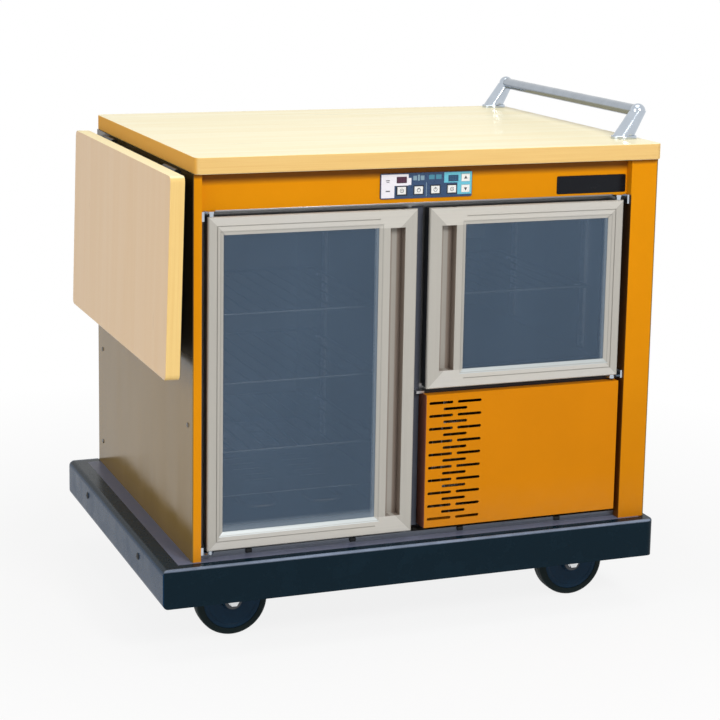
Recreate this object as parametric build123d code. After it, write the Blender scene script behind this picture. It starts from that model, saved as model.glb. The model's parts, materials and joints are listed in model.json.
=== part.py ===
from build123d import *
from math import hypot
import os

# Hot and cold serving wagon. Millimetres, +Z up, front towards -Y, push handle at +X.
# The origin is on the floor, under the middle of the bumper base.

# Cabinet
cabinet_width = 1000.0
cabinet_depth = 768.0
cabinet_height = 769.0
sheet = 2.0
post_left_width = 16.0
post_right_width = 58.0
post_depth = 36.0
header_height = 74.4
front_recess = 20.0
header_flange = 35.0
sill_height = 11.0
sill_thick = 2.0

# Worktop
worktop_thick = 33.0
worktop_overhang = 16.0
board_corner_radius = 12.0
board_edge_radius = 2.5

# Bumper base and deck
bumper_height = 80.0
bumper_thick = 24.0
bumper_reach_left = 68.0
bumper_reach_right = 12.0
bumper_reach_front = 30.0
bumper_reach_back = 12.0
bumper_wall = 7.0
bumper_corner_radius = 16.0
bumper_roll_radius = 12.0
bumper_edge_radius = 5.0
deck_thick = 4.0
deck_lip = 30.0
deck_rib_width = 60.0
deck_rib_depth = 30.0
deck_rib_spread = 110.0

# Casters
caster_height = 190.0
wheel_diameter = 150.0
wheel_width = 38.0
wheel_inset_left = 179.0
wheel_inset_right = 133.0
wheel_inset_side = 138.0
tyre_thick = 14.0
tyre_edge_radius = 6.0
rim_thick = 7.0
web_thick = 30.0
hub_boss_diameter = 44.0
axle_diameter = 12.0
bolt_head_width = 19.0
bolt_head_thick = 7.0
swivel_trail = 34.0
king_pin_diameter = 14.0
caster_plate_length = 116.0
caster_plate_width = 96.0
caster_plate_thick = 5.0
race_diameter = 62.0
race_height = 6.0
yoke_thick = 12.0
yoke_length = 70.0
fork_leg_thick = 4.0
fork_tip_diameter = 36.0
wheel_side_gap = 3.0

# Fits
pin_clearance = 0.05
seat_clearance = 0.3

# Doors
door_gap_left = 13.0
door_gap_right = 16.0
door_gap_middle = 27.0
door_gap_top = 10.6
door_gap_bottom = 8.0
door_depth = 38.0
door_face_thick = 9.0
door_pane_thick = 3.0
door_gasket_thick = 7.0
door_gasket_width = 16.0
door_gasket_inset = 6.0
door_body_inset = 1.5
door_stile = 32.0
door_rail = 36.0
door_edge_chamfer = 2.0
glazing_bead_width = 9.0
glazing_bead_depth = 5.0
door_rim = 17.0
door_groove_width = 2.0
door_groove_depth = 1.5
pane_overlap = 8.0
grip_outer_rail = 26.0
grip_width = 32.0
grip_bead = 22.0
grip_depth = 24.0
grip_wall = 2.0
door_pin_diameter = 7.0
door_pin_inset = 8.0
door_pin_setback = 10.0
door_pin_length = 13.0
hinge_plate_thick = 4.0
hinge_plate_width = 24.0
hinge_collar_diameter = 12.0
hinge_tab_thick = 6.0
hinge_tab_overlap = 8.0
divider_margin = 2.0
divider_thick = 2.5

# Insulated boxes
cavity_inset = 29.0
cavity_depth = 600.0
liner_thick = 1.5
foam_back = 42.0

# Machine panel with its staggered slots
panel_height = 279.0
panel_gap_bottom = 11.0
panel_gap_right = 12.0
panel_return = 60.0
mid_rail_thick = 5.0
slot_length = 53.0
slot_width = 6.0
slot_rows = 10
slot_pitch = 27.1
slot_top_margin = 17.5
slot_column_left = 33.5
slot_column_step = 31.5

# Control fascia and keys
fascia_width = 198.0
fascia_height = 51.0
fascia_thick = 2.5
fascia_left_offset = 389.0
fascia_top_offset = 15.0
fascia_corner_radius = 3.0
fascia_border = 3.0
key_width = 18.0
key_height = 15.0
key_proud = 1.2
key_side_gap = 0.4
key_flange = 1.5
key_flange_thick = 1.5
key_travel = 1.0
key_row_drop = 35.0
key_upper_drop = 13.0
key_row_offsets = {"hot_set_key": 45.5, "hot_power_key": 82.0, "cold_power_key": 118.0, "cold_set_key": 154.0}
key_column_offset = 183.5
window_width = 22.0
window_height = 13.0
window_drop = 13.5
window_offsets = (45.5, 157.0)
window_recess = 1.0
control_box_depth = 60.0

# Drop leaf, hinges and swing stay
leaf_height = 395.0
leaf_thick = 30.0
leaf_gap = 2.0
leaf_axis_drop = 8.0
leaf_lean = 1.5
leaf_hinge_spread = 500.0
leaf_hinge_length = 90.0
leaf_hinge_height = 40.0
leaf_hinge_plate = 2.0
knuckle_diameter = 13.0
knuckle_gap = 0.4
hinge_pin_diameter = 6.0
stay_drop = 150.0
stay_reach = 219.0
stay_span = 420.0
stay_rod_diameter = 10.0
stay_bend_radius = 20.0
stay_journal_length = 38.0
stay_offset = 9.0
stay_ear_diameter = 16.0
stay_ear_length = 14.0
stay_plate_height = 44.0

# Push handle
handle_front = 98.0
handle_length = 651.0
handle_foot_inset = 38.0
handle_lean = 31.0
handle_rise = 57.0
handle_bar_diameter = 25.0
handle_head_diameter = 32.0
handle_foot_length = 48.0
handle_foot_width = 34.0
handle_flange_height = 7.0
handle_flange_radius = 2.5
handle_flange_margin = 4.0
handle_seat_depth = 1.0
handle_socket_depth = 4.0

# Shelves, pilasters, heater and evaporator
pilaster_width = 20.0
pilaster_depth = 6.0
pilaster_wall = 1.5
pilaster_end_gap = 12.0
pilaster_front_inset = 70.0
pilaster_back_inset = 190.0
pilaster_slot_width = 10.0
pilaster_slot_height = 4.0
pilaster_slot_pitch = 45.0
clip_length = 14.0
clip_thick = 4.0
shelf_rod_diameter = 6.0
shelf_wire_diameter = 4.0
shelf_wire_count = 9
shelf_side_gap = 3.0
shelf_front_inset = 30.0
shelf_back_inset = 130.0
hot_shelf_heights = (150.0, 290.0, 430.0)
cold_shelf_heights = (150.0,)
heater_tube_diameter = 8.0
heater_runs = 4
heater_run_pitch = 70.0
heater_bend_radius = 28.0
heater_rise = 22.0
heater_margin = 60.0
heater_cover_thick = 1.5
heater_cover_rise = 60.0
heater_slot_length = 60.0
heater_slot_width = 8.0
heater_slot_pitch = 40.0
coil_fin_pitch = 20.0
coil_fin_thick = 1.5
coil_tube_diameter = 10.0
coil_row_pitch = 40.0
evaporator_side_gap = 37.5
evaporator_height = 110.0
evaporator_depth = 60.0
evaporator_cover_gap = 14.0
evaporator_slot_count = 9
evaporator_slot_pitch = 30.0
evaporator_slot_length = 77.0

# Machine compartment
condenser_width = 210.0
condenser_height = 230.0
condenser_depth = 44.0
condenser_setback = 95.0
condenser_left_gap = 14.0
fan_diameter = 176.0
fan_blades = 5
fan_blade_pitch = 28.0
fan_blade_thick = 2.0
fan_blade_width = 52.8
fan_blade_corner = 15.8
fan_root_width = 31.6
fan_hub_diameter = 46.0
fan_hub_length = 24.0
fan_gap = 26.0
motor_gap = 4.0
motor_diameter = 76.0
motor_length = 62.0
motor_shaft_diameter = 8.0
motor_saddle_diameter = 40.0
motor_foot_length = 80.0
motor_foot_width = 50.0
compressor_diameter = 168.0
compressor_height = 196.0
compressor_inset = 198.0
compressor_setback = 415.0
compressor_foot = 190.0
compressor_foot_width = 133.0
compressor_foot_thick = 6.0
compressor_foot_corner = 16.8
compressor_lift = 12.6
compressor_flat = 37.8
compressor_round = 25.2
compressor_weld_diameter = 84.0
drain_pan_length = 240.0
drain_pan_width = 150.0
drain_pan_height = 28.0

# Back panel
vent_slot_length = 60.0
vent_slot_width = 7.0
vent_rows = 9
vent_columns = 3
vent_row_pitch = 24.0
vent_column_pitch = 84.0
gland_flange_diameter = 36.0
gland_nose_diameter = 24.0
gland_bore_diameter = 12.0
gland_flange_thick = 4.0
gland_length = 10.0
gland_height = 66.0
gland_inset = 90.0

# Places worked out from the sizes above
base_left = -(bumper_reach_left + cabinet_width + bumper_reach_right) / 2
base_right = -base_left
base_front = -(bumper_reach_front + cabinet_depth + bumper_reach_back) / 2
base_back = -base_front
left_x = base_left + bumper_reach_left
right_x = left_x + cabinet_width
front_y = base_front + bumper_reach_front
back_y = front_y + cabinet_depth
deck_bottom = caster_height
deck_top = deck_bottom + deck_thick
bumper_bottom = deck_top - bumper_height
worktop_bottom = deck_top + cabinet_height
worktop_top = worktop_bottom + worktop_thick
header_bottom = worktop_bottom - header_height
recess_y = front_y + front_recess
jamb_y = front_y + door_depth + seat_clearance
post_left_inner = left_x + sheet + post_left_width
post_right_inner = right_x - sheet - post_right_width
clear_width = post_right_inner - post_left_inner
door_width = (clear_width - door_gap_left - door_gap_middle - door_gap_right) / 2
hot_left = post_left_inner + door_gap_left
hot_right = hot_left + door_width
cold_left = hot_right + door_gap_middle
cold_right = cold_left + door_width
split_x = (hot_right + cold_left) / 2
sill_top = deck_top + sill_height
door_top = header_bottom - door_gap_top
hot_bottom = sill_top + door_gap_bottom
panel_bottom = sill_top + panel_gap_bottom
panel_top = panel_bottom + panel_height
mid_rail_top = panel_top + mid_rail_thick
cold_bottom = mid_rail_top + door_gap_bottom
cavity_back = jamb_y + cavity_depth
grip_stile = grip_outer_rail + grip_width + grip_bead
leaf_axis_x = left_x - leaf_axis_drop
leaf_axis_z = worktop_bottom - leaf_axis_drop
leaf_inner_x = leaf_axis_x - leaf_axis_drop - (worktop_thick - leaf_thick)
board_front = front_y - worktop_overhang
stay_axis_x = left_x - stay_offset
stay_axis_z = leaf_axis_z - stay_drop
wheel_radius = wheel_diameter / 2
fork_inner = wheel_width / 2 + wheel_side_gap
fork_outer = fork_inner + fork_leg_thick
wheel_left_x = base_left + wheel_inset_left
wheel_right_x = base_right - wheel_inset_right
wheel_y = base_back - wheel_inset_side
swivel_x = wheel_right_x - swivel_trail
yoke_top = deck_bottom - caster_plate_thick - race_height - seat_clearance
fascia_left = left_x + fascia_left_offset
fascia_top = worktop_bottom - fascia_top_offset
fascia_front = recess_y - fascia_thick


# Helpers for plain profiles
def rect(u0, u1, v0, v1):
    return Pos((u0 + u1) / 2, (v0 + v1) / 2) * Rectangle(u1 - u0, v1 - v0)


def along_x(sketch, x0, x1):
    return extrude(Plane.YZ.offset(x0) * sketch, amount=x1 - x0, dir=(1, 0, 0))


def along_y(sketch, y0, y1):
    return extrude(Plane.XZ.offset(-y0) * sketch, amount=y1 - y0, dir=(0, 1, 0))


def along_z(sketch, z0, z1):
    return extrude(Plane.XY.offset(z0) * sketch, amount=z1 - z0, dir=(0, 0, 1))


def block(x0, x1, y0, y1, z0, z1):
    return along_z(rect(x0, x1, y0, y1), z0, z1)


def rod_x(diameter, x0, x1, y, z):
    return along_x(Pos(y, z) * Circle(diameter / 2), x0, x1)


def rod_y(diameter, x, y0, y1, z):
    return along_y(Pos(x, z) * Circle(diameter / 2), y0, y1)


def rod_z(diameter, x, y, z0, z1):
    return along_z(Pos(x, y) * Circle(diameter / 2), z0, z1)


# Bumper base and deck
def bumper_left():
    profile = rect(base_left, left_x, bumper_bottom, deck_top)
    profile = fillet(profile.vertices().group_by(Axis.X)[0], bumper_roll_radius)
    rail = along_y(profile, base_front, base_back)
    seat = block(
        left_x - deck_lip, left_x,
        base_front + bumper_thick, base_back - bumper_thick,
        deck_bottom, deck_top,
    )
    hollow = block(
        base_left + bumper_wall, left_x - bumper_wall,
        base_front + bumper_wall, base_back - bumper_wall,
        bumper_bottom, deck_bottom - bumper_wall,
    )
    return rail - seat - hollow


def bumper_front():
    outline = rect(left_x, base_right, base_front, base_front + bumper_thick)
    corner = outline.vertices().group_by(Axis.X)[-1].sort_by(Axis.Y)[0]
    rail = along_z(fillet(corner, bumper_corner_radius), bumper_bottom, deck_top)
    edge = rail.edges().group_by(Axis.Z)[-1].sort_by(Axis.Y)[0]
    return fillet(edge, bumper_edge_radius)


def bumper_right():
    side = rect(base_right - bumper_thick, base_right, base_front + bumper_thick, base_back - bumper_thick)
    rail = along_z(side, bumper_bottom, deck_top)
    edge = rail.edges().group_by(Axis.Z)[-1].sort_by(Axis.X)[-1]
    return fillet(edge, bumper_edge_radius)


def deck_plate():
    inner_front = base_front + bumper_thick
    plate = block(
        left_x - deck_lip, base_right - bumper_thick,
        inner_front, base_back - bumper_thick,
        deck_bottom, deck_top,
    )
    for side in (-1, 1):
        middle = side * deck_rib_spread
        rib = rect(
            middle - deck_rib_width / 2, middle + deck_rib_width / 2,
            deck_bottom - deck_rib_depth, deck_bottom,
        )
        hollow = rect(
            middle - deck_rib_width / 2 + deck_thick, middle + deck_rib_width / 2 - deck_thick,
            deck_bottom - deck_rib_depth + deck_thick, deck_bottom,
        )
        plate += along_x(rib - hollow, left_x, base_right - bumper_thick)
    return plate


# Casters
def axle_bolt(x, y):
    bolt = rod_y(axle_diameter, x, y - fork_outer, y + fork_outer, wheel_radius)
    hexagon = Pos(x, wheel_radius) * RegularPolygon(bolt_head_width / 2, 6, major_radius=False)
    bolt += along_y(hexagon, y - fork_outer - bolt_head_thick, y - fork_outer)
    bolt += along_y(hexagon, y + fork_outer, y + fork_outer + bolt_head_thick)
    return bolt


def fork(pin_x, axle_x, y, top):
    bridge = rect(pin_x - yoke_length / 2, pin_x + yoke_length / 2, top - yoke_thick, top)
    tip = Pos(axle_x, wheel_radius) * Circle(fork_tip_diameter / 2)
    leg = make_hull((bridge + tip).edges())
    leg -= Pos(axle_x, wheel_radius) * Circle(axle_diameter / 2 + pin_clearance)
    body = along_y(bridge, y - fork_outer, y + fork_outer)
    body += along_y(leg, y - fork_outer, y - fork_inner)
    body += along_y(leg, y + fork_inner, y + fork_outer)
    return body


def caster_plate(x, y):
    outline = Pos(x, y) * RectangleRounded(caster_plate_length, caster_plate_width, bumper_edge_radius)
    return along_z(outline, deck_bottom - caster_plate_thick, deck_bottom)


def fixed_fork(y):
    legs = fork(wheel_left_x, wheel_left_x, y, deck_bottom - caster_plate_thick)
    return legs + caster_plate(wheel_left_x, y)


def swivel_mount(y):
    mount = caster_plate(swivel_x, y)
    mount += rod_z(race_diameter, swivel_x, y, yoke_top + seat_clearance, deck_bottom - caster_plate_thick)
    pin_end = yoke_top - yoke_thick
    mount += rod_z(king_pin_diameter, swivel_x, y, pin_end, deck_bottom - caster_plate_thick)
    return mount


def swivel_fork(y):
    bore = rod_z(king_pin_diameter + 2 * pin_clearance, swivel_x, y, yoke_top - yoke_thick, yoke_top)
    return fork(swivel_x, wheel_right_x, y, yoke_top) - bore


def wheel(x, y):
    rim_outer = wheel_radius - tyre_thick
    tread = rect(rim_outer, wheel_radius, -wheel_width / 2, wheel_width / 2)
    tread = fillet(tread.vertices().group_by(Axis.X)[-1], tyre_edge_radius)
    bore = axle_diameter / 2 + pin_clearance
    boss_half = fork_inner - seat_clearance
    rim_half = wheel_width / 2 - fork_leg_thick / 2
    disc = rect(bore, hub_boss_diameter / 2, -boss_half, boss_half)
    disc += rect(bore, rim_outer, -web_thick / 2, web_thick / 2)
    disc += rect(rim_outer - rim_thick, rim_outer, -rim_half, rim_half)
    place = Pos(x, y, wheel_radius)
    return [place * revolve(tread, Axis.Y), place * revolve(disc, Axis.Y)]


# Cabinet shell
def side_panel(outer_x, inward):
    inner_x = outer_x + inward * sheet
    outline = rect(min(outer_x, inner_x), max(outer_x, inner_x), front_y, back_y)
    return along_z(outline, deck_top, worktop_bottom)


def front_post(x0, x1):
    outline = rect(x0, x1, front_y, front_y + post_depth)
    outline -= rect(x0 + sheet, x1 - sheet, front_y + sheet, front_y + post_depth)
    return along_z(outline, deck_top, worktop_bottom)


def header_panel():
    profile = rect(recess_y, recess_y + header_flange, header_bottom, worktop_bottom)
    profile -= rect(recess_y + sheet, recess_y + header_flange, header_bottom + sheet, worktop_bottom - sheet)
    window = block(
        fascia_left + fascia_border, fascia_left + fascia_width - fascia_border,
        recess_y, recess_y + sheet,
        fascia_top - fascia_height + fascia_border, fascia_top - fascia_border,
    )
    return along_x(profile, post_left_inner, post_right_inner) - window


def sill_rail():
    profile = rect(recess_y, jamb_y, deck_top, sill_top)
    profile -= rect(recess_y + sill_thick, jamb_y, deck_top, sill_top - sill_thick)
    return along_x(profile, post_left_inner, post_right_inner)


def mid_rail():
    profile = rect(recess_y, jamb_y - divider_thick, panel_top, mid_rail_top)
    return along_x(profile, split_x, post_right_inner)


def centre_divider():
    strip = rect(hot_right + divider_margin, cold_left - divider_margin, jamb_y - divider_thick, jamb_y)
    return along_z(strip, hot_bottom, door_top)


def back_panel():
    panel = block(left_x + sheet, right_x - sheet, back_y - sheet, back_y, deck_top, worktop_bottom)
    middle_x = (split_x + right_x) / 2
    middle_z = (deck_top + panel_top) / 2
    spots = GridLocations(vent_column_pitch, vent_row_pitch, vent_columns, vent_rows)
    slots = spots * SlotOverall(vent_slot_length, vent_slot_width)
    cut = along_y(Pos(middle_x, middle_z) * Sketch(slots), back_y - sheet, back_y)
    gland_x = right_x - gland_inset
    hole = rod_y(gland_nose_diameter, gland_x, back_y - sheet, back_y, deck_top + gland_height)
    return panel - cut - hole


def power_gland():
    gland_x = right_x - gland_inset
    gland_z = deck_top + gland_height
    radius = gland_nose_diameter / 2
    flange_radius = gland_flange_diameter / 2
    profile = rect(0, radius, -gland_length, gland_flange_thick)
    profile += rect(0, flange_radius, 0, gland_flange_thick)
    profile += rect(0, radius - gland_flange_thick / 2, 0, gland_length)
    profile -= rect(0, gland_bore_diameter / 2, -gland_length, gland_length)
    return Pos(gland_x, back_y, gland_z) * revolve(profile, Axis.Y)


# Worktop and push handle
def rounded_board(width, depth, thick):
    board = extrude(RectangleRounded(width, depth, board_corner_radius), thick)
    rims = board.faces().sort_by(Axis.Z)
    return fillet(rims[0].edges() + rims[-1].edges(), board_edge_radius)


handle_x = right_x - handle_foot_inset
bar_x = handle_x + handle_lean
bar_z = worktop_top + handle_rise
handle_front_y = board_front + handle_front
handle_back_y = handle_front_y + handle_length


def handle_flange(y, margin):
    grown_by = handle_flange_margin + margin
    outline = Ellipse(handle_foot_length / 2 + grown_by, handle_foot_width / 2 + grown_by)
    return Pos(handle_x, y) * outline


def worktop():
    depth = back_y - board_front
    board = rounded_board(cabinet_width, depth, worktop_thick)
    board = Pos((left_x + right_x) / 2, (board_front + back_y) / 2, worktop_bottom) * board
    for y in (handle_front_y, handle_back_y):
        board -= along_z(handle_flange(y, seat_clearance), worktop_top - handle_seat_depth, worktop_top)
    return board


def handle_post(y, inward):
    flange_top = worktop_top + handle_flange_height
    flange = along_z(handle_flange(y, 0), worktop_top - handle_seat_depth, flange_top)
    post = fillet(flange.edges().group_by(Axis.Z)[-1], handle_flange_radius)
    foot = Ellipse(handle_foot_length / 2, handle_foot_width / 2)
    slant = hypot(handle_lean, handle_rise) / handle_rise
    neck = Ellipse(slant * handle_head_diameter / 2, handle_head_diameter / 2)
    post += loft([Pos(handle_x, y, flange_top) * foot, Pos(bar_x, y, bar_z) * neck])
    post += Pos(bar_x, y, bar_z) * Sphere(handle_head_diameter / 2)
    socket_end = y - inward * handle_socket_depth
    mouth = y + inward * handle_head_diameter
    bore = handle_bar_diameter + 2 * pin_clearance
    return post - rod_y(bore, bar_x, min(socket_end, mouth), max(socket_end, mouth), bar_z)


def handle_bar():
    reach = handle_socket_depth - seat_clearance
    return rod_y(handle_bar_diameter, bar_x, handle_front_y - reach, handle_back_y + reach, bar_z)


# Doors
def door_layout(left, right, bottom, top, hinge_left):
    near = left + door_stile if hinge_left else left + grip_stile
    far = right - grip_stile if hinge_left else right - door_stile
    grip = right - grip_outer_rail - grip_width if hinge_left else left + grip_outer_rail
    pin_x = left + door_pin_inset if hinge_left else right - door_pin_inset
    opening = (near, far, bottom + door_rail, top - door_rail)
    channel = (grip, grip + grip_width, opening[2], opening[3])
    return opening, channel, pin_x


def grown(area, margin):
    return rect(area[0] - margin, area[1] + margin, area[2] - margin, area[3] + margin)


def pin_bores(pin_x, bottom, top):
    bore = door_pin_diameter + 2 * pin_clearance
    depth = door_pin_length + seat_clearance
    pin_y = front_y + door_pin_setback
    return rod_z(bore, pin_x, pin_y, bottom, bottom + depth) + rod_z(bore, pin_x, pin_y, top - depth, top)


def rim_line(left, right, bottom, top, opening, hinge_left):
    near = left + door_rim if hinge_left else opening[0]
    far = opening[1] if hinge_left else right - door_rim
    inner_near = near + door_groove_width if hinge_left else near
    inner_far = far if hinge_left else far - door_groove_width
    inset = door_rim + door_groove_width
    line = rect(near, far, bottom + door_rim, top - door_rim)
    return line - rect(inner_near, inner_far, bottom + inset, top - inset)


def door_face(left, right, bottom, top, hinge_left):
    opening, channel, pin_x = door_layout(left, right, bottom, top, hinge_left)
    back = front_y + door_face_thick
    face = along_y(rect(left, right, bottom, top), front_y, back)
    face = chamfer(face.edges().group_by(Axis.Y)[0], door_edge_chamfer)
    face -= along_y(grown(channel, 0), front_y, back)
    face -= along_y(grown(opening, 0), front_y, back)
    bead_front = Plane.XZ.offset(-front_y) * grown(opening, glazing_bead_width)
    bead_back = Plane.XZ.offset(-front_y - glazing_bead_depth) * grown(opening, 0)
    face -= loft([bead_front, bead_back])
    face -= along_y(grown(opening, pane_overlap), back - door_pane_thick, back)
    line = rim_line(left, right, bottom, top, opening, hinge_left)
    face -= along_y(line, front_y, front_y + door_groove_depth)
    trough = along_y(grown(channel, grip_wall), back, front_y + grip_depth + grip_wall)
    trough -= along_y(grown(channel, 0), back, front_y + grip_depth)
    return face + trough - pin_bores(pin_x, bottom, top)


def door_back(left, right, bottom, top, hinge_left):
    opening, channel, pin_x = door_layout(left, right, bottom, top, hinge_left)
    face_back = front_y + door_face_thick
    body_back = front_y + door_depth - door_gasket_thick
    inset = door_body_inset
    body = along_y(rect(left + inset, right - inset, bottom + inset, top - inset), face_back, body_back)
    body -= along_y(grown(opening, 0), face_back, body_back)
    body -= along_y(grown(opening, pane_overlap), body_back - door_pane_thick, body_back)
    grip_space = grip_wall + seat_clearance
    body -= along_y(grown(channel, grip_space), face_back, front_y + grip_depth + grip_space)
    body -= pin_bores(pin_x, bottom, top)
    inset = door_gasket_inset
    seal = rect(left + inset, right - inset, bottom + inset, top - inset)
    inset += door_gasket_width
    seal -= rect(left + inset, right - inset, bottom + inset, top - inset)
    return [body, along_y(seal, body_back, front_y + door_depth)]


def door_panes(left, right, bottom, top, hinge_left):
    opening, channel, pin_x = door_layout(left, right, bottom, top, hinge_left)
    outer_back = front_y + door_face_thick
    inner_back = front_y + door_depth - door_gasket_thick
    sheet_outline = grown(opening, pane_overlap)
    return [along_y(sheet_outline, back - door_pane_thick, back) for back in (outer_back, inner_back)]


def hinge_bracket(pin_x, post_x, mount_z, door_edge, up):
    """A plate with a collar, a pin for the door and a tab on the post; up is +1 where the pin points up."""
    pin_y = front_y + door_pin_setback
    reach = hinge_plate_width / 2
    plate_end = mount_z + up * hinge_plate_thick
    plan = make_hull((Pos(pin_x, pin_y) * Circle(reach / 2 + 1) + rect(
        min(pin_x - reach, post_x), max(pin_x + reach, post_x), recess_y, jamb_y - divider_thick)).edges())
    bracket = along_z(plan, min(mount_z, plate_end), max(mount_z, plate_end))
    tab_x = post_x + hinge_tab_thick if post_x < pin_x else post_x - hinge_tab_thick
    tab_end = door_edge + up * hinge_tab_overlap
    tab = rect(min(post_x, tab_x), max(post_x, tab_x), pin_y - reach / 2, jamb_y - divider_thick)
    bracket += along_z(tab, min(mount_z, tab_end), max(mount_z, tab_end))
    collar_end = door_edge - up * seat_clearance
    collar_span = sorted((plate_end, collar_end))
    bracket += rod_z(hinge_collar_diameter, pin_x, pin_y, *collar_span)
    pin_end = door_edge + up * door_pin_length
    pin_span = sorted((plate_end, pin_end))
    bracket += rod_z(door_pin_diameter, pin_x, pin_y, *pin_span)
    return bracket


# Insulated boxes
def cavity(left, right, bottom):
    return (left + cavity_inset, right - cavity_inset, bottom + cavity_inset, door_top - cavity_inset)


hot_cavity = cavity(hot_left, hot_right, hot_bottom)
cold_cavity = cavity(cold_left, cold_right, cold_bottom)
hot_shell = (left_x + sheet, split_x, deck_top, header_bottom)
cold_shell = (split_x, right_x - sheet, panel_top, header_bottom)


def liner(area, shell):
    tub = along_y(grown(area, liner_thick), jamb_y, cavity_back + liner_thick)
    tub += along_y(grown(shell, 0), jamb_y, jamb_y + liner_thick)
    return tub - along_y(grown(area, 0), jamb_y, cavity_back)


def foam(area, shell):
    start = jamb_y + liner_thick
    end = cavity_back + liner_thick
    fill = along_y(grown(shell, 0), start, end + foam_back)
    return fill - along_y(grown(area, liner_thick), start, end)


def pilaster(wall_x, inward, y, area, shelf_heights):
    """A slotted channel strip on a side wall, with a clip under each shelf."""
    low = area[2] + pilaster_end_gap
    high = area[3] - pilaster_end_gap
    half = pilaster_width / 2
    outline = rect(min(0, inward * pilaster_depth), max(0, inward * pilaster_depth), -half, half)
    inner = inward * (pilaster_depth - pilaster_wall)
    outline -= rect(min(0, inner), max(0, inner), -half + pilaster_wall, half - pilaster_wall)
    strip = along_z(Pos(wall_x, y) * outline, low, high)
    count = int((high - low - pilaster_slot_pitch) / pilaster_slot_pitch)
    face_x = wall_x + inward * pilaster_depth
    spots = GridLocations(pilaster_slot_width, pilaster_slot_pitch, 1, count)
    slots = Sketch(spots * Rectangle(pilaster_slot_width, pilaster_slot_height))
    slot_span = sorted((face_x, wall_x + inner))
    strip -= along_x(Pos(y, (low + high) / 2) * slots, *slot_span)
    for height in shelf_heights:
        seat = area[2] + height - shelf_rod_diameter / 2
        tip = face_x + inward * clip_length
        strip += block(
            min(face_x, tip), max(face_x, tip), y - pilaster_slot_width / 2, y + pilaster_slot_width / 2,
            seat - clip_thick, seat,
        )
    return strip


def pilasters():
    strips = []
    for area, heights in ((hot_cavity, hot_shelf_heights), (cold_cavity, cold_shelf_heights)):
        for y in (jamb_y + pilaster_front_inset, cavity_back - pilaster_back_inset):
            strips.append(pilaster(area[0], 1, y, area, heights))
            strips.append(pilaster(area[1], -1, y, area, heights))
    return strips


def wire_shelf(area, height):
    z = area[2] + height
    near = jamb_y + shelf_front_inset
    far = cavity_back - shelf_back_inset
    edge = pilaster_depth + shelf_side_gap + shelf_rod_diameter / 2
    left = area[0] + edge
    right = area[1] - edge
    rack = rod_x(shelf_rod_diameter, left, right, near, z)
    rack += rod_x(shelf_rod_diameter, left, right, far, z)
    rack += rod_y(shelf_rod_diameter, left, near, far, z)
    rack += rod_y(shelf_rod_diameter, right, near, far, z)
    step = (right - left) / (shelf_wire_count + 1)
    for index in range(shelf_wire_count):
        rack += rod_y(shelf_wire_diameter, left + step * (index + 1), near, far, z)
    return rack


def heater():
    z = hot_cavity[2] + heater_rise
    start_x = (hot_cavity[0] + hot_cavity[1]) / 2 - heater_run_pitch * (heater_runs - 1) / 2
    near = jamb_y + heater_margin
    points = [(start_x, cavity_back, z)]
    for run in range(heater_runs):
        x = start_x + run * heater_run_pitch
        ends = (cavity_back - heater_margin, near) if run % 2 == 0 else (near, cavity_back - heater_margin)
        points += [(x, ends[0], z), (x, ends[1], z)]
    points.append((points[-1][0], cavity_back, z))
    route = [points[0]] + points[2:-2] + [points[-1]]
    path = FilletPolyline(*route, radius=heater_bend_radius)
    return sweep(Plane(path @ 0, z_dir=path % 0) * Circle(heater_tube_diameter / 2), path=path)


def heater_cover():
    z = hot_cavity[2] + heater_cover_rise
    side = pilaster_depth + shelf_side_gap
    near = jamb_y + shelf_front_inset
    far = cavity_back - shelf_front_inset
    left = hot_cavity[0] + side
    right = hot_cavity[1] - side
    profile = rect(left, right, hot_cavity[2], z)
    inset = heater_cover_thick
    profile -= rect(left + inset, right - inset, hot_cavity[2], z - inset)
    cover = along_y(profile, near, far)
    rows = int((far - near - 2 * heater_margin) / heater_slot_pitch)
    spots = GridLocations(heater_slot_length * 2, heater_slot_pitch, 2, rows)
    slots = Sketch(spots * SlotOverall(heater_slot_length, heater_slot_width))
    return cover - along_z(Pos((left + right) / 2, (near + far) / 2) * slots, z - inset, z)


def finned_coil(x0, x1, y0, y1, z0, z1):
    """Plate fins on round tubes between two end plates."""
    count = int((x1 - x0) / coil_fin_pitch)
    step = (x1 - x0 - coil_fin_thick) / count
    coil = None
    for index in range(count + 1):
        x = x0 + index * step
        fin = block(x, x + coil_fin_thick, y0, y1, z0, z1)
        coil = fin if coil is None else coil + fin
    rows = int((z1 - z0) / coil_row_pitch)
    pitch = (z1 - z0) / rows
    for row in range(rows):
        coil += rod_x(coil_tube_diameter, x0, x1, (y0 + y1) / 2, z0 + pitch * (row + 0.5))
    return coil


def evaporator():
    middle = (cold_cavity[0] + cold_cavity[1]) / 2
    half = (cold_cavity[1] - cold_cavity[0]) / 2 - evaporator_side_gap
    top = cold_cavity[3] - evaporator_cover_gap
    return finned_coil(
        middle - half, middle + half,
        cavity_back - evaporator_depth, cavity_back,
        top - evaporator_height, top,
    )


def evaporator_cover():
    middle = (cold_cavity[0] + cold_cavity[1]) / 2
    half = (cold_cavity[1] - cold_cavity[0]) / 2 - evaporator_side_gap + evaporator_cover_gap
    front = cavity_back - evaporator_depth - evaporator_cover_gap
    bottom = cold_cavity[3] - 2 * evaporator_cover_gap - evaporator_height
    shell = block(middle - half, middle + half, front, cavity_back, bottom, cold_cavity[3])
    inset = heater_cover_thick
    shell -= block(
        middle - half + inset, middle + half - inset,
        front + inset, cavity_back,
        bottom + inset, cold_cavity[3],
    )
    spots = GridLocations(evaporator_slot_pitch, evaporator_height, evaporator_slot_count, 1)
    slots = Sketch(spots * (Rot(0, 0, 90) * SlotOverall(evaporator_slot_length, heater_slot_width)))
    return shell - along_y(Pos(middle, (bottom + cold_cavity[3]) / 2) * slots, front, front + inset)


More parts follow.
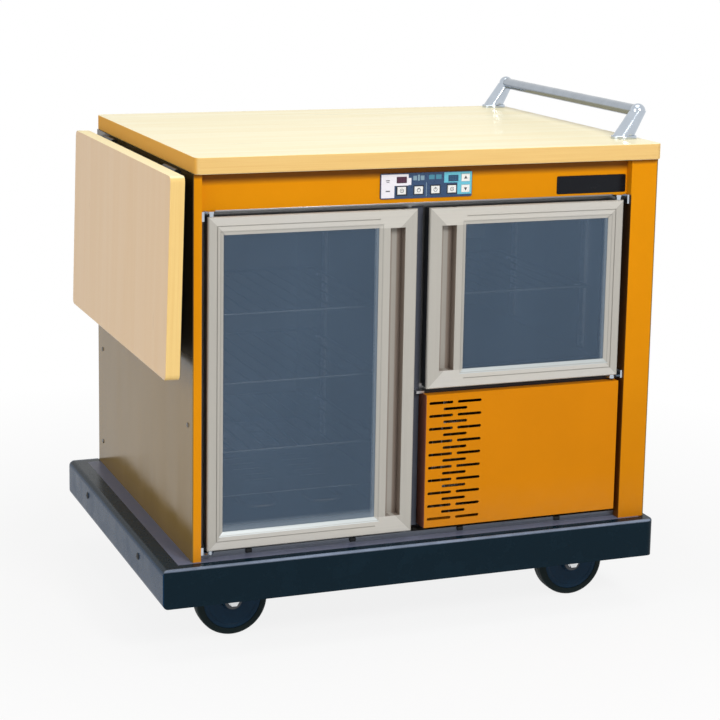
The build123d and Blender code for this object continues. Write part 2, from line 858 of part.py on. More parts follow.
# Machine compartment
def machine_panel():
    right = post_right_inner - panel_gap_right
    back = front_y + panel_return
    tray = block(cold_left, right, front_y, back, panel_bottom, panel_top)
    tray -= block(
        cold_left + sheet, right - sheet, front_y + sheet, back, panel_bottom + sheet, panel_top - sheet
    )
    first_x = cold_left + slot_column_left
    slots = []
    for row in range(slot_rows):
        z = panel_top - slot_top_margin - row * slot_pitch
        for column in (0, 2):
            slots.append(Pos(first_x + column * slot_column_step, z) * SlotOverall(slot_length, slot_width))
        if row < slot_rows - 1:
            middle = Pos(first_x + slot_column_step, z - slot_pitch / 2)
            slots.append(middle * SlotOverall(slot_length, slot_width))
    return tray - along_y(Sketch(slots), front_y, front_y + sheet)


condenser_left = cold_left + condenser_left_gap
condenser_front = front_y + condenser_setback
fan_x = condenser_left + condenser_width / 2
fan_z = deck_top + condenser_height / 2
fan_front = condenser_front + condenser_depth + fan_gap
motor_front = fan_front + fan_hub_length + motor_gap
compressor_x = right_x - compressor_inset
compressor_y = front_y + compressor_setback


def condenser():
    return finned_coil(
        condenser_left, condenser_left + condenser_width,
        condenser_front, condenser_front + condenser_depth,
        deck_top, deck_top + condenser_height,
    )


def condenser_fan():
    hub = Cylinder(fan_hub_diameter / 2, fan_hub_length, align=(Align.CENTER, Align.CENTER, Align.MIN))
    hub = fillet(hub.edges().group_by(Axis.Z)[0], fan_hub_length / 4)
    inner = fan_hub_diameter / 2 - fan_hub_length / 6
    length = fan_diameter / 2 - inner
    blade_outline = Pos(inner + length / 2, 0) * RectangleRounded(length, fan_blade_width, fan_blade_corner)
    blade_outline += rect(inner, inner + length / 2, -fan_root_width / 2, fan_root_width / 2)
    blade = extrude(blade_outline, fan_blade_thick / 2, both=True)
    rotor = hub
    for index in range(fan_blades):
        turn = Rot(0, 0, 360 / fan_blades * index) * Pos(0, 0, fan_hub_length / 2)
        rotor += turn * Rot(fan_blade_pitch, 0, 0) * blade
    depth = fan_hub_length / 2 + seat_clearance
    rotor -= Pos(0, 0, fan_hub_length - depth) * Cylinder(
        motor_shaft_diameter / 2 + pin_clearance, depth, align=(Align.CENTER, Align.CENTER, Align.MIN)
    )
    return Pos(fan_x, fan_front, fan_z) * Rot(-90, 0, 0) * rotor


def fan_motor():
    can = rod_y(motor_diameter, fan_x, motor_front, motor_front + motor_length, fan_z)
    can = fillet(can.edges().group_by(Axis.Y)[-1], motor_diameter / 8)
    shaft_end = motor_front - motor_gap - fan_hub_length / 2
    can += rod_y(motor_shaft_diameter, fan_x, shaft_end, motor_front, fan_z)
    foot_y = motor_front + motor_length / 2
    half = motor_foot_length / 2
    foot_line = rect(fan_x - half, fan_x + half, deck_top, deck_top + sheet)
    saddle = Pos(fan_x, fan_z) * Circle(motor_saddle_diameter / 2)
    can += along_y(make_hull((saddle + foot_line).edges()), foot_y - sheet, foot_y + sheet)
    return can + along_y(foot_line, foot_y - motor_foot_width / 2, foot_y + motor_foot_width / 2)


def compressor():
    radius = compressor_diameter / 2
    foot_top = deck_top + compressor_foot_thick
    shell_low = foot_top + compressor_lift
    shell_high = foot_top + compressor_height
    flat = compressor_flat
    outline = Polyline(
        (0, foot_top), (flat, foot_top), (radius, shell_low + flat / 2), (radius, shell_high - flat),
        (flat, shell_high), (0, shell_high), close=True,
    )
    profile = make_face(outline)
    profile = fillet(profile.vertices().group_by(Axis.X)[-1], compressor_round)
    place = Pos(compressor_x, compressor_y)
    pot = place * revolve(Plane.XZ * profile, Axis.Z)
    foot = place * RectangleRounded(compressor_foot, compressor_foot_width, compressor_foot_corner)
    weld = rod_z(compressor_weld_diameter, compressor_x, compressor_y, foot_top - sheet, foot_top + sheet)
    return pot + along_z(foot, deck_top, foot_top) + weld


def drain_pan():
    x0 = compressor_x - drain_pan_length / 2
    y0 = compressor_y + compressor_foot / 2 + drain_pan_height
    pan = block(x0, x0 + drain_pan_length, y0, y0 + drain_pan_width, deck_top, deck_top + drain_pan_height)
    return pan - block(
        x0 + sheet, x0 + drain_pan_length - sheet, y0 + sheet, y0 + drain_pan_width - sheet,
        deck_top + sheet, deck_top + drain_pan_height,
    )


# Control fascia, keys and control box
key_places = {name: (offset, key_row_drop) for name, offset in key_row_offsets.items()}
key_places["down_key"] = (key_column_offset, key_row_drop)
key_places["up_key"] = (key_column_offset, key_upper_drop)


def key_place(name):
    offset, drop = key_places[name]
    return Pos(fascia_left + offset, fascia_top - drop)


def control_fascia():
    outline = Pos(fascia_left + fascia_width / 2, fascia_top - fascia_height / 2) * RectangleRounded(
        fascia_width, fascia_height, fascia_corner_radius
    )
    plate = along_y(outline, fascia_front, recess_y)
    for name in key_places:
        opening = key_place(name) * Rectangle(key_width + 2 * key_side_gap, key_height + 2 * key_side_gap)
        plate -= along_y(opening, fascia_front, recess_y)
    for offset in window_offsets:
        window = Pos(fascia_left + offset, fascia_top - window_drop) * Rectangle(window_width, window_height)
        plate -= along_y(window, fascia_front, fascia_front + window_recess)
    return plate


key_back = recess_y + seat_clearance + key_flange_thick


def control_key(name):
    place = key_place(name)
    cap_face = place * Rectangle(key_width, key_height)
    cap = along_y(cap_face, fascia_front - key_proud, key_back - key_flange_thick)
    cap = chamfer(cap.edges().group_by(Axis.Y)[0], key_proud / 2)
    flange = place * Rectangle(key_width + 2 * key_flange, key_height + 2 * key_flange)
    return cap + along_y(flange, key_back - key_flange_thick, key_back)


def control_box():
    front = key_back + key_travel + seat_clearance
    border = fascia_border + key_flange
    box = block(
        fascia_left + border, fascia_left + fascia_width - border, front, front + control_box_depth,
        header_bottom + sheet, fascia_top - border,
    )
    return chamfer(box.edges().group_by(Axis.Y)[-1], fascia_corner_radius)


# Drop leaf, hinges and swing stay
leaf_axis = Axis((leaf_axis_x, 0, leaf_axis_z), (0, 1, 0))
leaf_depth = back_y - board_front
leaf_middle = (board_front + back_y) / 2
hinge_places = (leaf_middle - leaf_hinge_spread / 2, leaf_middle + leaf_hinge_spread / 2)


def drop_leaf():
    board = rounded_board(leaf_height, leaf_depth, leaf_thick)
    top = worktop_bottom - leaf_gap
    placed = Pos(leaf_inner_x, leaf_middle, top - leaf_height / 2) * Rot(0, -90, 0) * board
    return placed.rotate(leaf_axis, leaf_lean)


def knuckle_spans(y):
    third = leaf_hinge_length / 3
    low = y - leaf_hinge_length / 2
    return [(low + third * i, low + third * (i + 1)) for i in range(3)]


def fixed_hinge(y):
    spans = knuckle_spans(y)
    low = leaf_axis_z - leaf_hinge_height
    plate = left_x - leaf_hinge_plate
    hinge = block(plate, left_x, spans[0][0], spans[2][1], low, leaf_axis_z)
    hinge -= block(
        plate, left_x,
        spans[1][0] - knuckle_gap, spans[1][1] + knuckle_gap,
        leaf_axis_z - knuckle_diameter, leaf_axis_z,
    )
    for start, end in (spans[0], spans[2]):
        hinge += rod_y(knuckle_diameter, leaf_axis_x, start, end, leaf_axis_z)
        hinge += block(leaf_axis_x, left_x, start, end, leaf_axis_z - leaf_hinge_plate, leaf_axis_z)
    return hinge + rod_y(hinge_pin_diameter, leaf_axis_x, spans[0][0], spans[2][1], leaf_axis_z)


def moving_hinge(y):
    spans = knuckle_spans(y)
    start, end = spans[1][0] + knuckle_gap, spans[1][1] - knuckle_gap
    low = leaf_axis_z - leaf_hinge_height
    plate = leaf_inner_x + leaf_hinge_plate
    top = leaf_axis_z - leaf_hinge_plate
    hinge = block(leaf_inner_x, plate, spans[0][0], spans[2][1], low, leaf_axis_z - knuckle_diameter)
    hinge += block(leaf_inner_x, plate, start, end, low, leaf_axis_z + leaf_hinge_plate)
    hinge += block(leaf_inner_x, leaf_axis_x, start, end, top, leaf_axis_z + leaf_hinge_plate)
    hinge += rod_y(knuckle_diameter, leaf_axis_x, start, end, leaf_axis_z)
    hinge -= rod_y(hinge_pin_diameter + 2 * pin_clearance, leaf_axis_x, start, end, leaf_axis_z)
    return hinge.rotate(leaf_axis, leaf_lean)


def swing_stay():
    half = stay_span / 2
    end = half + stay_journal_length
    low = stay_axis_z - stay_reach
    path = FilletPolyline(
        (stay_axis_x, leaf_middle - end, stay_axis_z),
        (stay_axis_x, leaf_middle - half, stay_axis_z),
        (stay_axis_x, leaf_middle - half, low),
        (stay_axis_x, leaf_middle + half, low),
        (stay_axis_x, leaf_middle + half, stay_axis_z),
        (stay_axis_x, leaf_middle + end, stay_axis_z),
        radius=stay_bend_radius,
    )
    return sweep(Plane(path @ 0, z_dir=path % 0) * Circle(stay_rod_diameter / 2), path=path)


def stay_bracket(side):
    end = stay_span / 2 + stay_journal_length
    y0 = leaf_middle + side * end
    y1 = y0 - side * stay_ear_length
    low, high = min(y0, y1), max(y0, y1)
    half = stay_plate_height / 2
    ear = Pos(stay_axis_x, stay_axis_z) * Circle(stay_ear_diameter / 2)
    ear += rect(stay_axis_x, left_x, stay_axis_z - stay_ear_diameter / 2, stay_axis_z + stay_ear_diameter / 2)
    ear += rect(left_x - leaf_hinge_plate, left_x, stay_axis_z - half, stay_axis_z + half)
    ear -= Pos(stay_axis_x, stay_axis_z) * Circle(stay_rod_diameter / 2 + pin_clearance)
    return along_y(ear, low, high)


# Named nodes
hot_door = (hot_left, hot_right, hot_bottom, door_top, True)
cold_door = (cold_left, cold_right, cold_bottom, door_top, False)
hot_pin_x = door_layout(*hot_door)[2]
cold_pin_x = door_layout(*cold_door)[2]

nodes = {
    "deck_plate": deck_plate(),
    "bumper_left": bumper_left(),
    "bumper_front": bumper_front(),
    "bumper_rear": mirror(bumper_front(), about=Plane.XZ),
    "bumper_right": bumper_right(),
    "side_panel_left": side_panel(left_x, 1),
    "side_panel_right": side_panel(right_x, -1),
    "back_panel": back_panel(),
    "post_left": front_post(left_x + sheet, post_left_inner),
    "post_right": front_post(post_right_inner, right_x - sheet),
    "header_panel": header_panel(),
    "sill_rail": sill_rail(),
    "mid_rail": mid_rail(),
    "centre_divider": centre_divider(),
    "machine_panel": machine_panel(),
    "worktop": worktop(),
    "handle_bar": handle_bar(),
    "handle_posts": [handle_post(handle_front_y, 1), handle_post(handle_back_y, -1)],
    "power_gland": power_gland(),
    "hot_liner": liner(hot_cavity, hot_shell),
    "cold_liner": liner(cold_cavity, cold_shell),
    "insulation": [foam(hot_cavity, hot_shell), foam(cold_cavity, cold_shell)],
    "pilasters": pilasters(),
    "wire_shelves": [
        wire_shelf(area, height)
        for area, heights in ((hot_cavity, hot_shelf_heights), (cold_cavity, cold_shelf_heights))
        for height in heights
    ],
    "heater": heater(),
    "heater_cover": heater_cover(),
    "evaporator": evaporator(),
    "evaporator_cover": evaporator_cover(),
    "condenser": condenser(),
    "condenser_fan": condenser_fan(),
    "fan_motor": fan_motor(),
    "compressor": compressor(),
    "drain_pan": drain_pan(),
    "control_fascia": control_fascia(),
    "control_box": control_box(),
    "hot_door_face": door_face(*hot_door),
    "hot_door_back": door_back(*hot_door),
    "hot_door_glass": door_panes(*hot_door),
    "cold_door_face": door_face(*cold_door),
    "cold_door_back": door_back(*cold_door),
    "cold_door_glass": door_panes(*cold_door),
    "door_hinges": [
        hinge_bracket(hot_pin_x, post_left_inner, header_bottom, door_top, -1),
        hinge_bracket(hot_pin_x, post_left_inner, sill_top, hot_bottom, 1),
        hinge_bracket(cold_pin_x, post_right_inner, header_bottom, door_top, -1),
        hinge_bracket(cold_pin_x, post_right_inner, mid_rail_top, cold_bottom, 1),
    ],
    "drop_leaf": drop_leaf(),
    "leaf_hinges_moving": [moving_hinge(y) for y in hinge_places],
    "leaf_hinges_fixed": [fixed_hinge(y) for y in hinge_places],
    "swing_stay": swing_stay(),
    "stay_brackets": [stay_bracket(-1), stay_bracket(1)],
    "caster_mounts": [
        solid for y in (-wheel_y, wheel_y)
        for solid in (fixed_fork(y), axle_bolt(wheel_left_x, y), swivel_mount(y))
    ],
    "swivel_fork_front": [swivel_fork(-wheel_y), axle_bolt(wheel_right_x, -wheel_y)],
    "swivel_fork_rear": [swivel_fork(wheel_y), axle_bolt(wheel_right_x, wheel_y)],
    "wheel_front_left": wheel(wheel_left_x, -wheel_y),
    "wheel_front_right": wheel(wheel_right_x, -wheel_y),
    "wheel_rear_left": wheel(wheel_left_x, wheel_y),
    "wheel_rear_right": wheel(wheel_right_x, wheel_y),
}
for key_name in key_places:
    nodes[key_name] = control_key(key_name)

os.makedirs("parts", exist_ok=True)
for name, shape in nodes.items():
    if isinstance(shape, list):
        shape = Compound(children=shape)
    export_step(shape, os.path.join("parts", name + ".step"))
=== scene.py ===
"""Finishes, trim, wheels, controls and studio of a heated and chilled serving cart."""
import json
import math
from functools import reduce

import bmesh
import bpy
from bpy.props import FloatProperty, FloatVectorProperty, PointerProperty
from bpy.types import Operator, Panel, PropertyGroup
from mathutils import Matrix, Vector


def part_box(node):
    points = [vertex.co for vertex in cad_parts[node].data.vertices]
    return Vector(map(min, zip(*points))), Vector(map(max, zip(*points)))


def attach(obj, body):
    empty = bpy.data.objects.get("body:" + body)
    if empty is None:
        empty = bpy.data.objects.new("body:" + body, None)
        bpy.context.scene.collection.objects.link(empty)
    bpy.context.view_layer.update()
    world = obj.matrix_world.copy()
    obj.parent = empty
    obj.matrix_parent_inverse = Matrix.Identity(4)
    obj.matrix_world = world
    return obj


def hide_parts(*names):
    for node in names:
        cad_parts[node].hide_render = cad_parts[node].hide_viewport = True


bl_info = {
    "name": "Serving cart",
    "version": (1, 0, 0),
    "blender": (4, 5, 0),
    "location": "View3D > Sidebar > Cart",
    "description": "Finishes, trim, wheels, controls and studio of a heated and chilled serving cart",
    "category": "Object",
}

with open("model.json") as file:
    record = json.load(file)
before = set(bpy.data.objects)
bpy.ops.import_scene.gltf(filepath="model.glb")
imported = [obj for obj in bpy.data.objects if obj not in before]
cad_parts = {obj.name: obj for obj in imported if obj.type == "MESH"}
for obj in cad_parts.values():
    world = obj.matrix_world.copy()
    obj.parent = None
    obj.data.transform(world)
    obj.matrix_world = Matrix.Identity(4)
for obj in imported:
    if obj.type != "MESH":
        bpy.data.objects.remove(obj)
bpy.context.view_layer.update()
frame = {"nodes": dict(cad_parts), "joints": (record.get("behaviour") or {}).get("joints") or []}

X, Y, Z = range(3)
BACK = Vector((0, 1, 0))
LEFT = Vector((-1, 0, 0))
RIGHT = Vector((1, 0, 0))
DOWN = Vector((0, 0, -1))
CORNERS = ("front_left", "front_right", "rear_left", "rear_right")

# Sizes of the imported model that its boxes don't give, in metres and radians
DOOR_RAIL = 0.036
GLAZING_BEAD = 0.009
GRIP_RAIL = 0.026
GRIP_WIDTH = 0.032
PANE = 0.003
GLASS_OVERLAP = 0.008
LEAF_THICK = 0.030
LEAF_OFFSET = 0.011
LEAF_LEAN = math.radians(1.5)
WHEEL_HALF = 0.019
AXLE_BORE = 0.00605
CASTER_PLATE_UNDER = 0.185

# Limits and pitches of the finishes, in metres
EDGE_LINE = 0.0009
GRIP_MARGIN = 0.0005
AXLE_HEAD = 0.0113
AXLE_SHOULDER = 0.0042
FIN_PITCH = 0.004

# Places and sizes of the trim, in metres, and the rounding of a glass bead as a share of its height
TRIM_PROUD = 0.0012
TRIM_TUCK = 0.008
TRIM_ROUND = 0.0006
BEAD_LAP = 0.0004
BEAD_GAP = 0.00005
BEAD_ROUND_SHARE = 0.45
SPACER_GAP = 0.0002
SPACER_WIDTH = 0.0025
SPACER_ROUND = 0.0006
SCREW_RISE = 0.0024
SIDE_SCREWS = ((-0.343, 0.465), (0.353, 0.249), (0.353, 0.465))
BACK_SCREW_ROWS = (0.225, 0.465, 0.705, 0.935)
BACK_SCREW_COLUMNS = (-0.22, 0.03, 0.28)
BACK_SCREW_INSET = 0.018
RAIL_BOLTS = ((-0.217, 0.164), (0.221, 0.164))
RAIL_BOLT_RISE = 0.003
SILL_STOPS = (-0.350, -0.129, 0.109, 0.332)
STOP_PROUD = 0.004
STOP_HEIGHT = 0.008
STOP_SINK = 0.0005
STOP_ROUND = 0.0012
CASTER_BOLTS = ((-0.046, -0.036), (-0.046, 0.036), (0.046, -0.036), (0.046, 0.036))
CASTER_BOLT_RISE = 0.0065
CASTER_WASHER = 0.010
BLANK_MIDDLE = (0.385, 0.9115)
BLANK_PROUD = 0.0016
BLANK_SINK = 0.0002
BLANK_CORNER = 0.003
BLANK_ROUND = 0.0005
BLANK_LINE_INSET = 0.003
BLANK_LINE_WIDTH = 0.0008
BLANK_LINE_ROUND = 0.0001
BLANK_LINE_PROUD = 0.00185
BLANK_LINE_BACK = 0.0015
LENS_SUNK = 0.00015
LENS_BACK = 0.00098
LENS_CORNER = 0.0008
LENS_ROUND = 0.0002
KEY_MARK = 0.0042
KEY_MARK_THICK = 0.00018
KEY_RING_WIDTH = 0.001
KEY_BAR_HALF = 0.0005
KEY_BAR_FOOT = 0.0006
KEY_BAR_TOP = 0.0052
KEY_DOT = 0.0012

# Facets: the angle from which an edge stays sharp, and the steps round a turn
CREASE = math.radians(32.0)
TREAD_STEPS = 96
CORE_STEPS = 72
HEAD_STEPS = 24
RING_STEPS = 32
DOT_STEPS = 20
FLOOR_STEPS = 96

# Heights between which dust on the painted sheets thins out, in metres
DUST_FULL = 0.19
DUST_END = 0.30

# Display windows of the fascia, in millimetres from its left and top edges
LENS_MIDDLES = {"hot": 45.5, "cold": 157.0}
LENS_HALF = 10.8
LENS_TOP = 7.2
LENS_FOOT = 19.8

# Unlit bars of a display: digits in a row, and places and sizes as shares of the window or of a digit
LENS_DIGITS = 3
LENS_MARGIN = 0.14
LENS_BARS = (0.2, 0.48, 0.76)
LENS_BAR_LENGTH = 0.7
LENS_BAR_HEIGHT = 0.07

# Printed fields of the fascia: left, top, right and foot, in millimetres from its left and top edges
FASCIA_PRINT = {
    "film_white": ((2, 2, 30, 49), (30, 2, 60, 25), (60, 10, 66, 24)),
    "film_cyan": ((137, 1, 197, 22), (166, 22, 197, 46)),
    "film_grey": ((70, 6, 78, 15), (80, 4, 84, 16), (86, 6, 94, 15)),
    "film_teal": ((104, 5, 116, 14), (119, 5, 131, 14)),
    "film_line": ((98, 20, 99.2, 48),),
    "film_signs": ((12, 13, 20, 15), (13, 16.5, 19, 18), (11.5, 34, 20.5, 36.5)),
    "film_wells": (
        (33, 25.5, 58, 45.5), (70.5, 25, 93.5, 45), (106.5, 25, 129.5, 45), (142.5, 25, 165.5, 45),
    ),
}

# Colours of small pieces, of print, and of painted shade and painted highlights that stay in one place
TINTS = {
    "dust": (0.45, 0.30, 0.16),
    "header_shade": (0.12, 0.040, 0.012),
    "post_top_shadow": (0.16, 0.055, 0.012),
    "post_side": (0.035, 0.016, 0.006),
    "post_foot_shade": (0.44, 0.13, 0.001),
    "panel_return": (0.19, 0.068, 0.048),
    "behind_leaf_shade": (0.024, 0.017, 0.009),
    "sill": (0.34, 0.37, 0.41),
    "rail_shade": (0.02, 0.022, 0.032),
    "divider": (0.066, 0.073, 0.098),
    "black_plastic": (0.02, 0.02, 0.023),
    "worktop_left_shade": (0.80, 0.41, 0.075),
    "leaf_top_highlight": (0.95, 0.84, 0.52),
    "spacer": (0.82, 0.88, 0.94),
    "pilaster": (0.80, 0.82, 0.84),
    "shelf_wire": (0.22, 0.23, 0.24),
    "heater": (0.30, 0.27, 0.24),
    "fins": (0.52, 0.53, 0.55),
    "fin_dust": (0.24, 0.22, 0.19),
    "pot": (0.012, 0.012, 0.013),
    "foam": (0.72, 0.60, 0.30),
    "axle_bolt": (0.70, 0.71, 0.72),
    "bar_under_shade": (0.15, 0.17, 0.20),
    "film_grey": (0.22, 0.34, 0.42),
    "film_teal": (0.06, 0.24, 0.34),
    "film_line": (0.26, 0.36, 0.44),
    "film_signs": (0.10, 0.10, 0.12),
    "film_wells": (0.004, 0.012, 0.03),
    "key_worn": (0.68, 0.68, 0.66),
    "key_ink": (0.05, 0.05, 0.06),
    "plate_line": (0.30, 0.30, 0.31),
    "screw_dark": (0.16, 0.15, 0.14),
    "screw_bright": (0.62, 0.63, 0.64),
    "floor": (0.74, 0.74, 0.74),
}

# Stage: lamps as name, place, width in metres and power in watts, with the surround and the floor
LAMPS = (
    ("key_lamp", (0.5, -3.6, 2.75), 1.1, 80.0),
    ("top_lamp", (0.1, -0.3, 3.9), 2.4, 34.0),
    ("left_lamp", (-4.6, -1.6, 2.6), 3.0, 62.0),
)
LAMP_AIM = Vector((0, 0, 0.55))
SURROUND_LIGHT = 0.42
FLOOR_RADIUS = 40.0

# Camera: place and reach in metres, turn in degrees, sensor and lens in millimetres
CAMERA_PLACE = (-1.5170, -3.9627, 1.4750)
CAMERA_TURN = (79.7721, -0.9653, -20.9595)
CAMERA_SENSOR = 36.0
CAMERA_LENS = 99.219
CAMERA_SHIFT = -0.1389
CAMERA_REACH = 200.0

# Shader sockets by the names used here
SOCKETS = {
    "colour": "Base Color",
    "rough": "Roughness",
    "metal": "Metallic",
    "specular": "Specular IOR Level",
    "bend": "IOR",
    "alpha": "Alpha",
    "brushed": "Anisotropic",
    "normal": "Normal",
}


def scaled(colour, factors, lift=0.0):
    """A colour times one factor, or times one for each channel, and then lifted."""
    if isinstance(factors, float):
        factors = (factors,) * 3
    return tuple(min(1.0, f * c + lift) for f, c in zip(factors, colour))


def grain(along, close, wide):
    """Stretches that pack a pattern closely across an axis and widely along it."""
    return tuple(wide if axis == along else close for axis in (X, Y, Z))


def tone(colour, share, *ramps):
    """A colour to blend in at a share where every ramp, given as axis, start and end, has risen."""
    return colour, share, ramps


class Finish:
    """A material put together from texture steps on the piece's own Object coordinates."""

    def __init__(self, name, **sockets):
        self.material = bpy.data.materials.new(name)
        self.material.use_nodes = True
        self.tree = self.material.node_tree
        self.tree.nodes.clear()
        self.shader = self.node("BsdfPrincipled")
        self.output = self.node("OutputMaterial", {"Surface": self.shader.outputs["BSDF"]})
        self.place = self.node("TexCoord").outputs["Object"]
        self.set(**sockets)

    def node(self, kind, inputs=None, **settings):
        made = self.tree.nodes.new("ShaderNode" + kind)
        for key, value in settings.items():
            setattr(made, key, value)
        for key, value in (inputs or {}).items():
            self.feed(made.inputs[key], value)
        return made

    def feed(self, socket, value):
        if isinstance(value, bpy.types.NodeSocket):
            self.tree.links.new(value, socket)
        elif socket.type == "RGBA":
            socket.default_value = (*value, 1.0)
        else:
            socket.default_value = value

    def set(self, **sockets):
        for key, value in sockets.items():
            self.feed(self.shader.inputs[SOCKETS[key]], value)

    def done(self, colour, rough, relief=None, depth=0.0, strength=0.0):
        """Sets the colour, the roughness and the relief, and gives back the material."""
        self.set(colour=colour, rough=rough)
        if relief is not None:
            bump = self.node("Bump", {"Height": relief, "Distance": depth, "Strength": strength})
            self.set(normal=bump.outputs["Normal"])
        return self.material

    def mapped(self, stretch=(1, 1, 1), centre=(0, 0, 0), turn=(0, 0, 0)):
        """Object coordinates seen from a centre, turned, and packed more closely by stretch."""
        scale = tuple(1 / s for s in stretch)
        inputs = {"Vector": self.place, "Location": tuple(centre), "Rotation": turn, "Scale": scale}
        return self.node("Mapping", inputs, vector_type="TEXTURE").outputs["Vector"]

    def noise(self, scale, stretch=(1, 1, 1), detail=3.0, rough=0.55, wander=0.0, **seen):
        where = self.mapped(stretch, **seen)
        inputs = {"Vector": where, "Scale": scale, "Detail": detail, "Roughness": rough, "Distortion": wander}
        return self.node("TexNoise", inputs).outputs["Fac"]

    def cells(self, scale):
        return self.node("TexVoronoi", {"Vector": self.mapped(), "Scale": scale}).outputs["Distance"]

    def spread(self, value, low, high, start=0.0, end=1.0):
        """The value's span from start to end, laid out from low to high and held at both ends."""
        inputs = {"Value": value, "From Min": start, "From Max": end, "To Min": low, "To Max": high}
        return self.node("MapRange", inputs).outputs["Result"]

    def blend(self, share, first, second):
        """The first colour, turning into the second as the share goes from 0 to 1."""
        return self.node("Mix", {0: share, 6: first, 7: second}, data_type="RGBA").outputs[2]

    def fade(self, pattern, share, start, end, first, second):
        """Blends a second colour in, up to a share, as a pattern goes from start to end."""
        return self.blend(self.spread(pattern, 0.0, share, start, end), first, second)

    def reckon(self, how, *values):
        return self.node("Math", dict(enumerate(values)), operation=how).outputs[0]

    def gather(self, how, *values):
        """All the values multiplied, or the largest or the smallest of them."""
        return reduce(lambda first, second: self.reckon(how, first, second), values)

    def axes(self, vector=None):
        made = self.node("SeparateXYZ", {"Vector": vector or self.place})
        return made.outputs["X"], made.outputs["Y"], made.outputs["Z"]

    def waves(self, value, pitch):
        return self.reckon("SINE", self.reckon("MULTIPLY", value, 2 * math.pi / pitch))

    def within(self, value, low, high):
        """1 between low and high, and 0 outside."""
        return self.reckon("COMPARE", value, (low + high) / 2, (high - low) / 2)

    def patch(self, across, along, low, high):
        """1 in a rectangle from low to high, and 0 outside."""
        wide = self.within(across, low[0], high[0])
        return self.reckon("MULTIPLY", wide, self.within(along, low[1], high[1]))

    def radius(self, centre, axis):
        """The distance from a line through centre along one axis."""
        keep = tuple(float(other != axis) for other in (X, Y, Z))
        moved = self.node("VectorMath", {0: self.place, 1: tuple(centre)}, operation="SUBTRACT")
        flat = self.node("VectorMath", {0: moved.outputs["Vector"], 1: keep}, operation="MULTIPLY")
        return self.node("VectorMath", {0: flat.outputs["Vector"]}, operation="LENGTH").outputs["Value"]

    def toned(self, tint, tones):
        """Blends tones into a tint, one after the other."""
        for colour, share, ramps in tones:
            rises = [self.spread(self.axes()[axis], 0.0, 1.0, start, end) for axis, start, end in ramps]
            tint = self.blend(self.gather("MULTIPLY", *rises, share), tint, colour)
        return tint


# Finishes


def powder_coat(name, colour, gloss=0.34, tones=()):
    """Baked paint on sheet steel: fine orange peel, faint cloudiness and a little dust low down."""
    finish = Finish(name, specular=0.06)
    cloud = finish.noise(7.0, detail=4.0)
    tint = finish.fade(cloud, 1.0, 0.3, 0.7, colour, scaled(colour, 0.94))
    low_down = finish.spread(finish.axes()[Z], 0.16, 0.0, DUST_FULL, DUST_END)
    dust = finish.reckon("MULTIPLY", low_down, finish.noise(60.0, detail=5.0))
    tint = finish.toned(finish.blend(dust, tint, TINTS["dust"]), tones)
    rough = finish.spread(finish.noise(110.0, detail=2.0), gloss - 0.05, gloss + 0.07)
    return finish.done(tint, rough, finish.noise(620.0, detail=2.0), 0.00012, 0.35)


def gloss_sheet(name, colour, tones=()):
    """Brown coated sheet that mirrors what stands beside it, with wiping marks in its sheen."""
    finish = Finish(name, specular=0.5, bend=1.25)
    cloud = finish.noise(4.0, (1.0, 1.0, 0.4))
    wiped = finish.noise(24.0, (1.0, 1.0, 0.12), detail=5.0)
    light = scaled(colour, 1.14, 0.012)
    tint = finish.fade(cloud, 1.0, 0.35, 0.7, colour, light)
    tint = finish.fade(wiped, 0.12, 0.45, 0.8, tint, light)
    rough = finish.spread(wiped, 0.13, 0.24, 0.3, 0.75)
    return finish.done(finish.toned(tint, tones), rough, finish.noise(300.0, detail=2.0), 0.00008, 0.25)


def board_finish(name, face, edge, along, through, band, figure, bend, seen=None, backing=None, tones=()):
    """Wood-faced board: long grain and short pores on its faces, and an edge band in its thickness."""
    finish = Finish(name, specular=0.42, bend=bend)
    seen = seen or {}
    wave = finish.noise(1.0, grain(along, 26.0, 1.3), detail=5.0, wander=0.9, **seen)
    fibre = finish.noise(1.0, grain(along, 320.0, 5.0), **seen)
    pore = finish.noise(1.0, grain(along, 900.0, 46.0), detail=1.0, **seen)
    warm = scaled(face, (0.94, 0.88, 0.78))
    deep = scaled(face, (0.80, 0.66, 0.48))
    wood = finish.fade(wave, 0.85 * figure, 0.36, 0.68, face, warm)
    wood = finish.fade(fibre, 0.35 * figure, 0.48, 0.78, wood, deep)
    wood = finish.fade(pore, 0.5 * figure, 0.66, 0.74, wood, deep)
    banding = finish.fade(fibre, 0.5, 0.4, 0.75, edge, scaled(edge, (0.9, 0.8, 0.66)))
    banding = finish.toned(banding, tones)
    depth = finish.axes(finish.mapped(**seen))[through]
    edged = finish.within(depth, *band)
    tint = finish.blend(edged, wood, banding)
    if backing:
        dull = finish.blend(finish.spread(fibre, 0.0, 0.6), backing, scaled(backing, 0.6))
        tint = finish.blend(finish.reckon("GREATER_THAN", depth, band[1]), tint, dull)
    rough = finish.reckon("MULTIPLY_ADD", edged, 0.5, finish.spread(wave, 0.27, 0.36, 0.3, 0.7))
    return finish.done(tint, rough, finish.reckon("ADD", fibre, pore), 0.00006, 0.3)


def moulded(name, colour, rough, pebble=420.0, depth=0.00012, specular=0.4):
    """Moulded plastic or rubber with a fine pebbled skin and rubbed, lighter patches."""
    finish = Finish(name, specular=specular)
    rub = finish.noise(18.0, detail=6.0, rough=0.65)
    tint = finish.fade(rub, 0.55, 0.5, 0.8, colour, scaled(colour, 1.5, 0.003))
    sheen = finish.spread(rub, rough - 0.06, rough + 0.1, 0.3, 0.75)
    return finish.done(tint, sheen, finish.noise(pebble, detail=2.0), depth, 0.4)


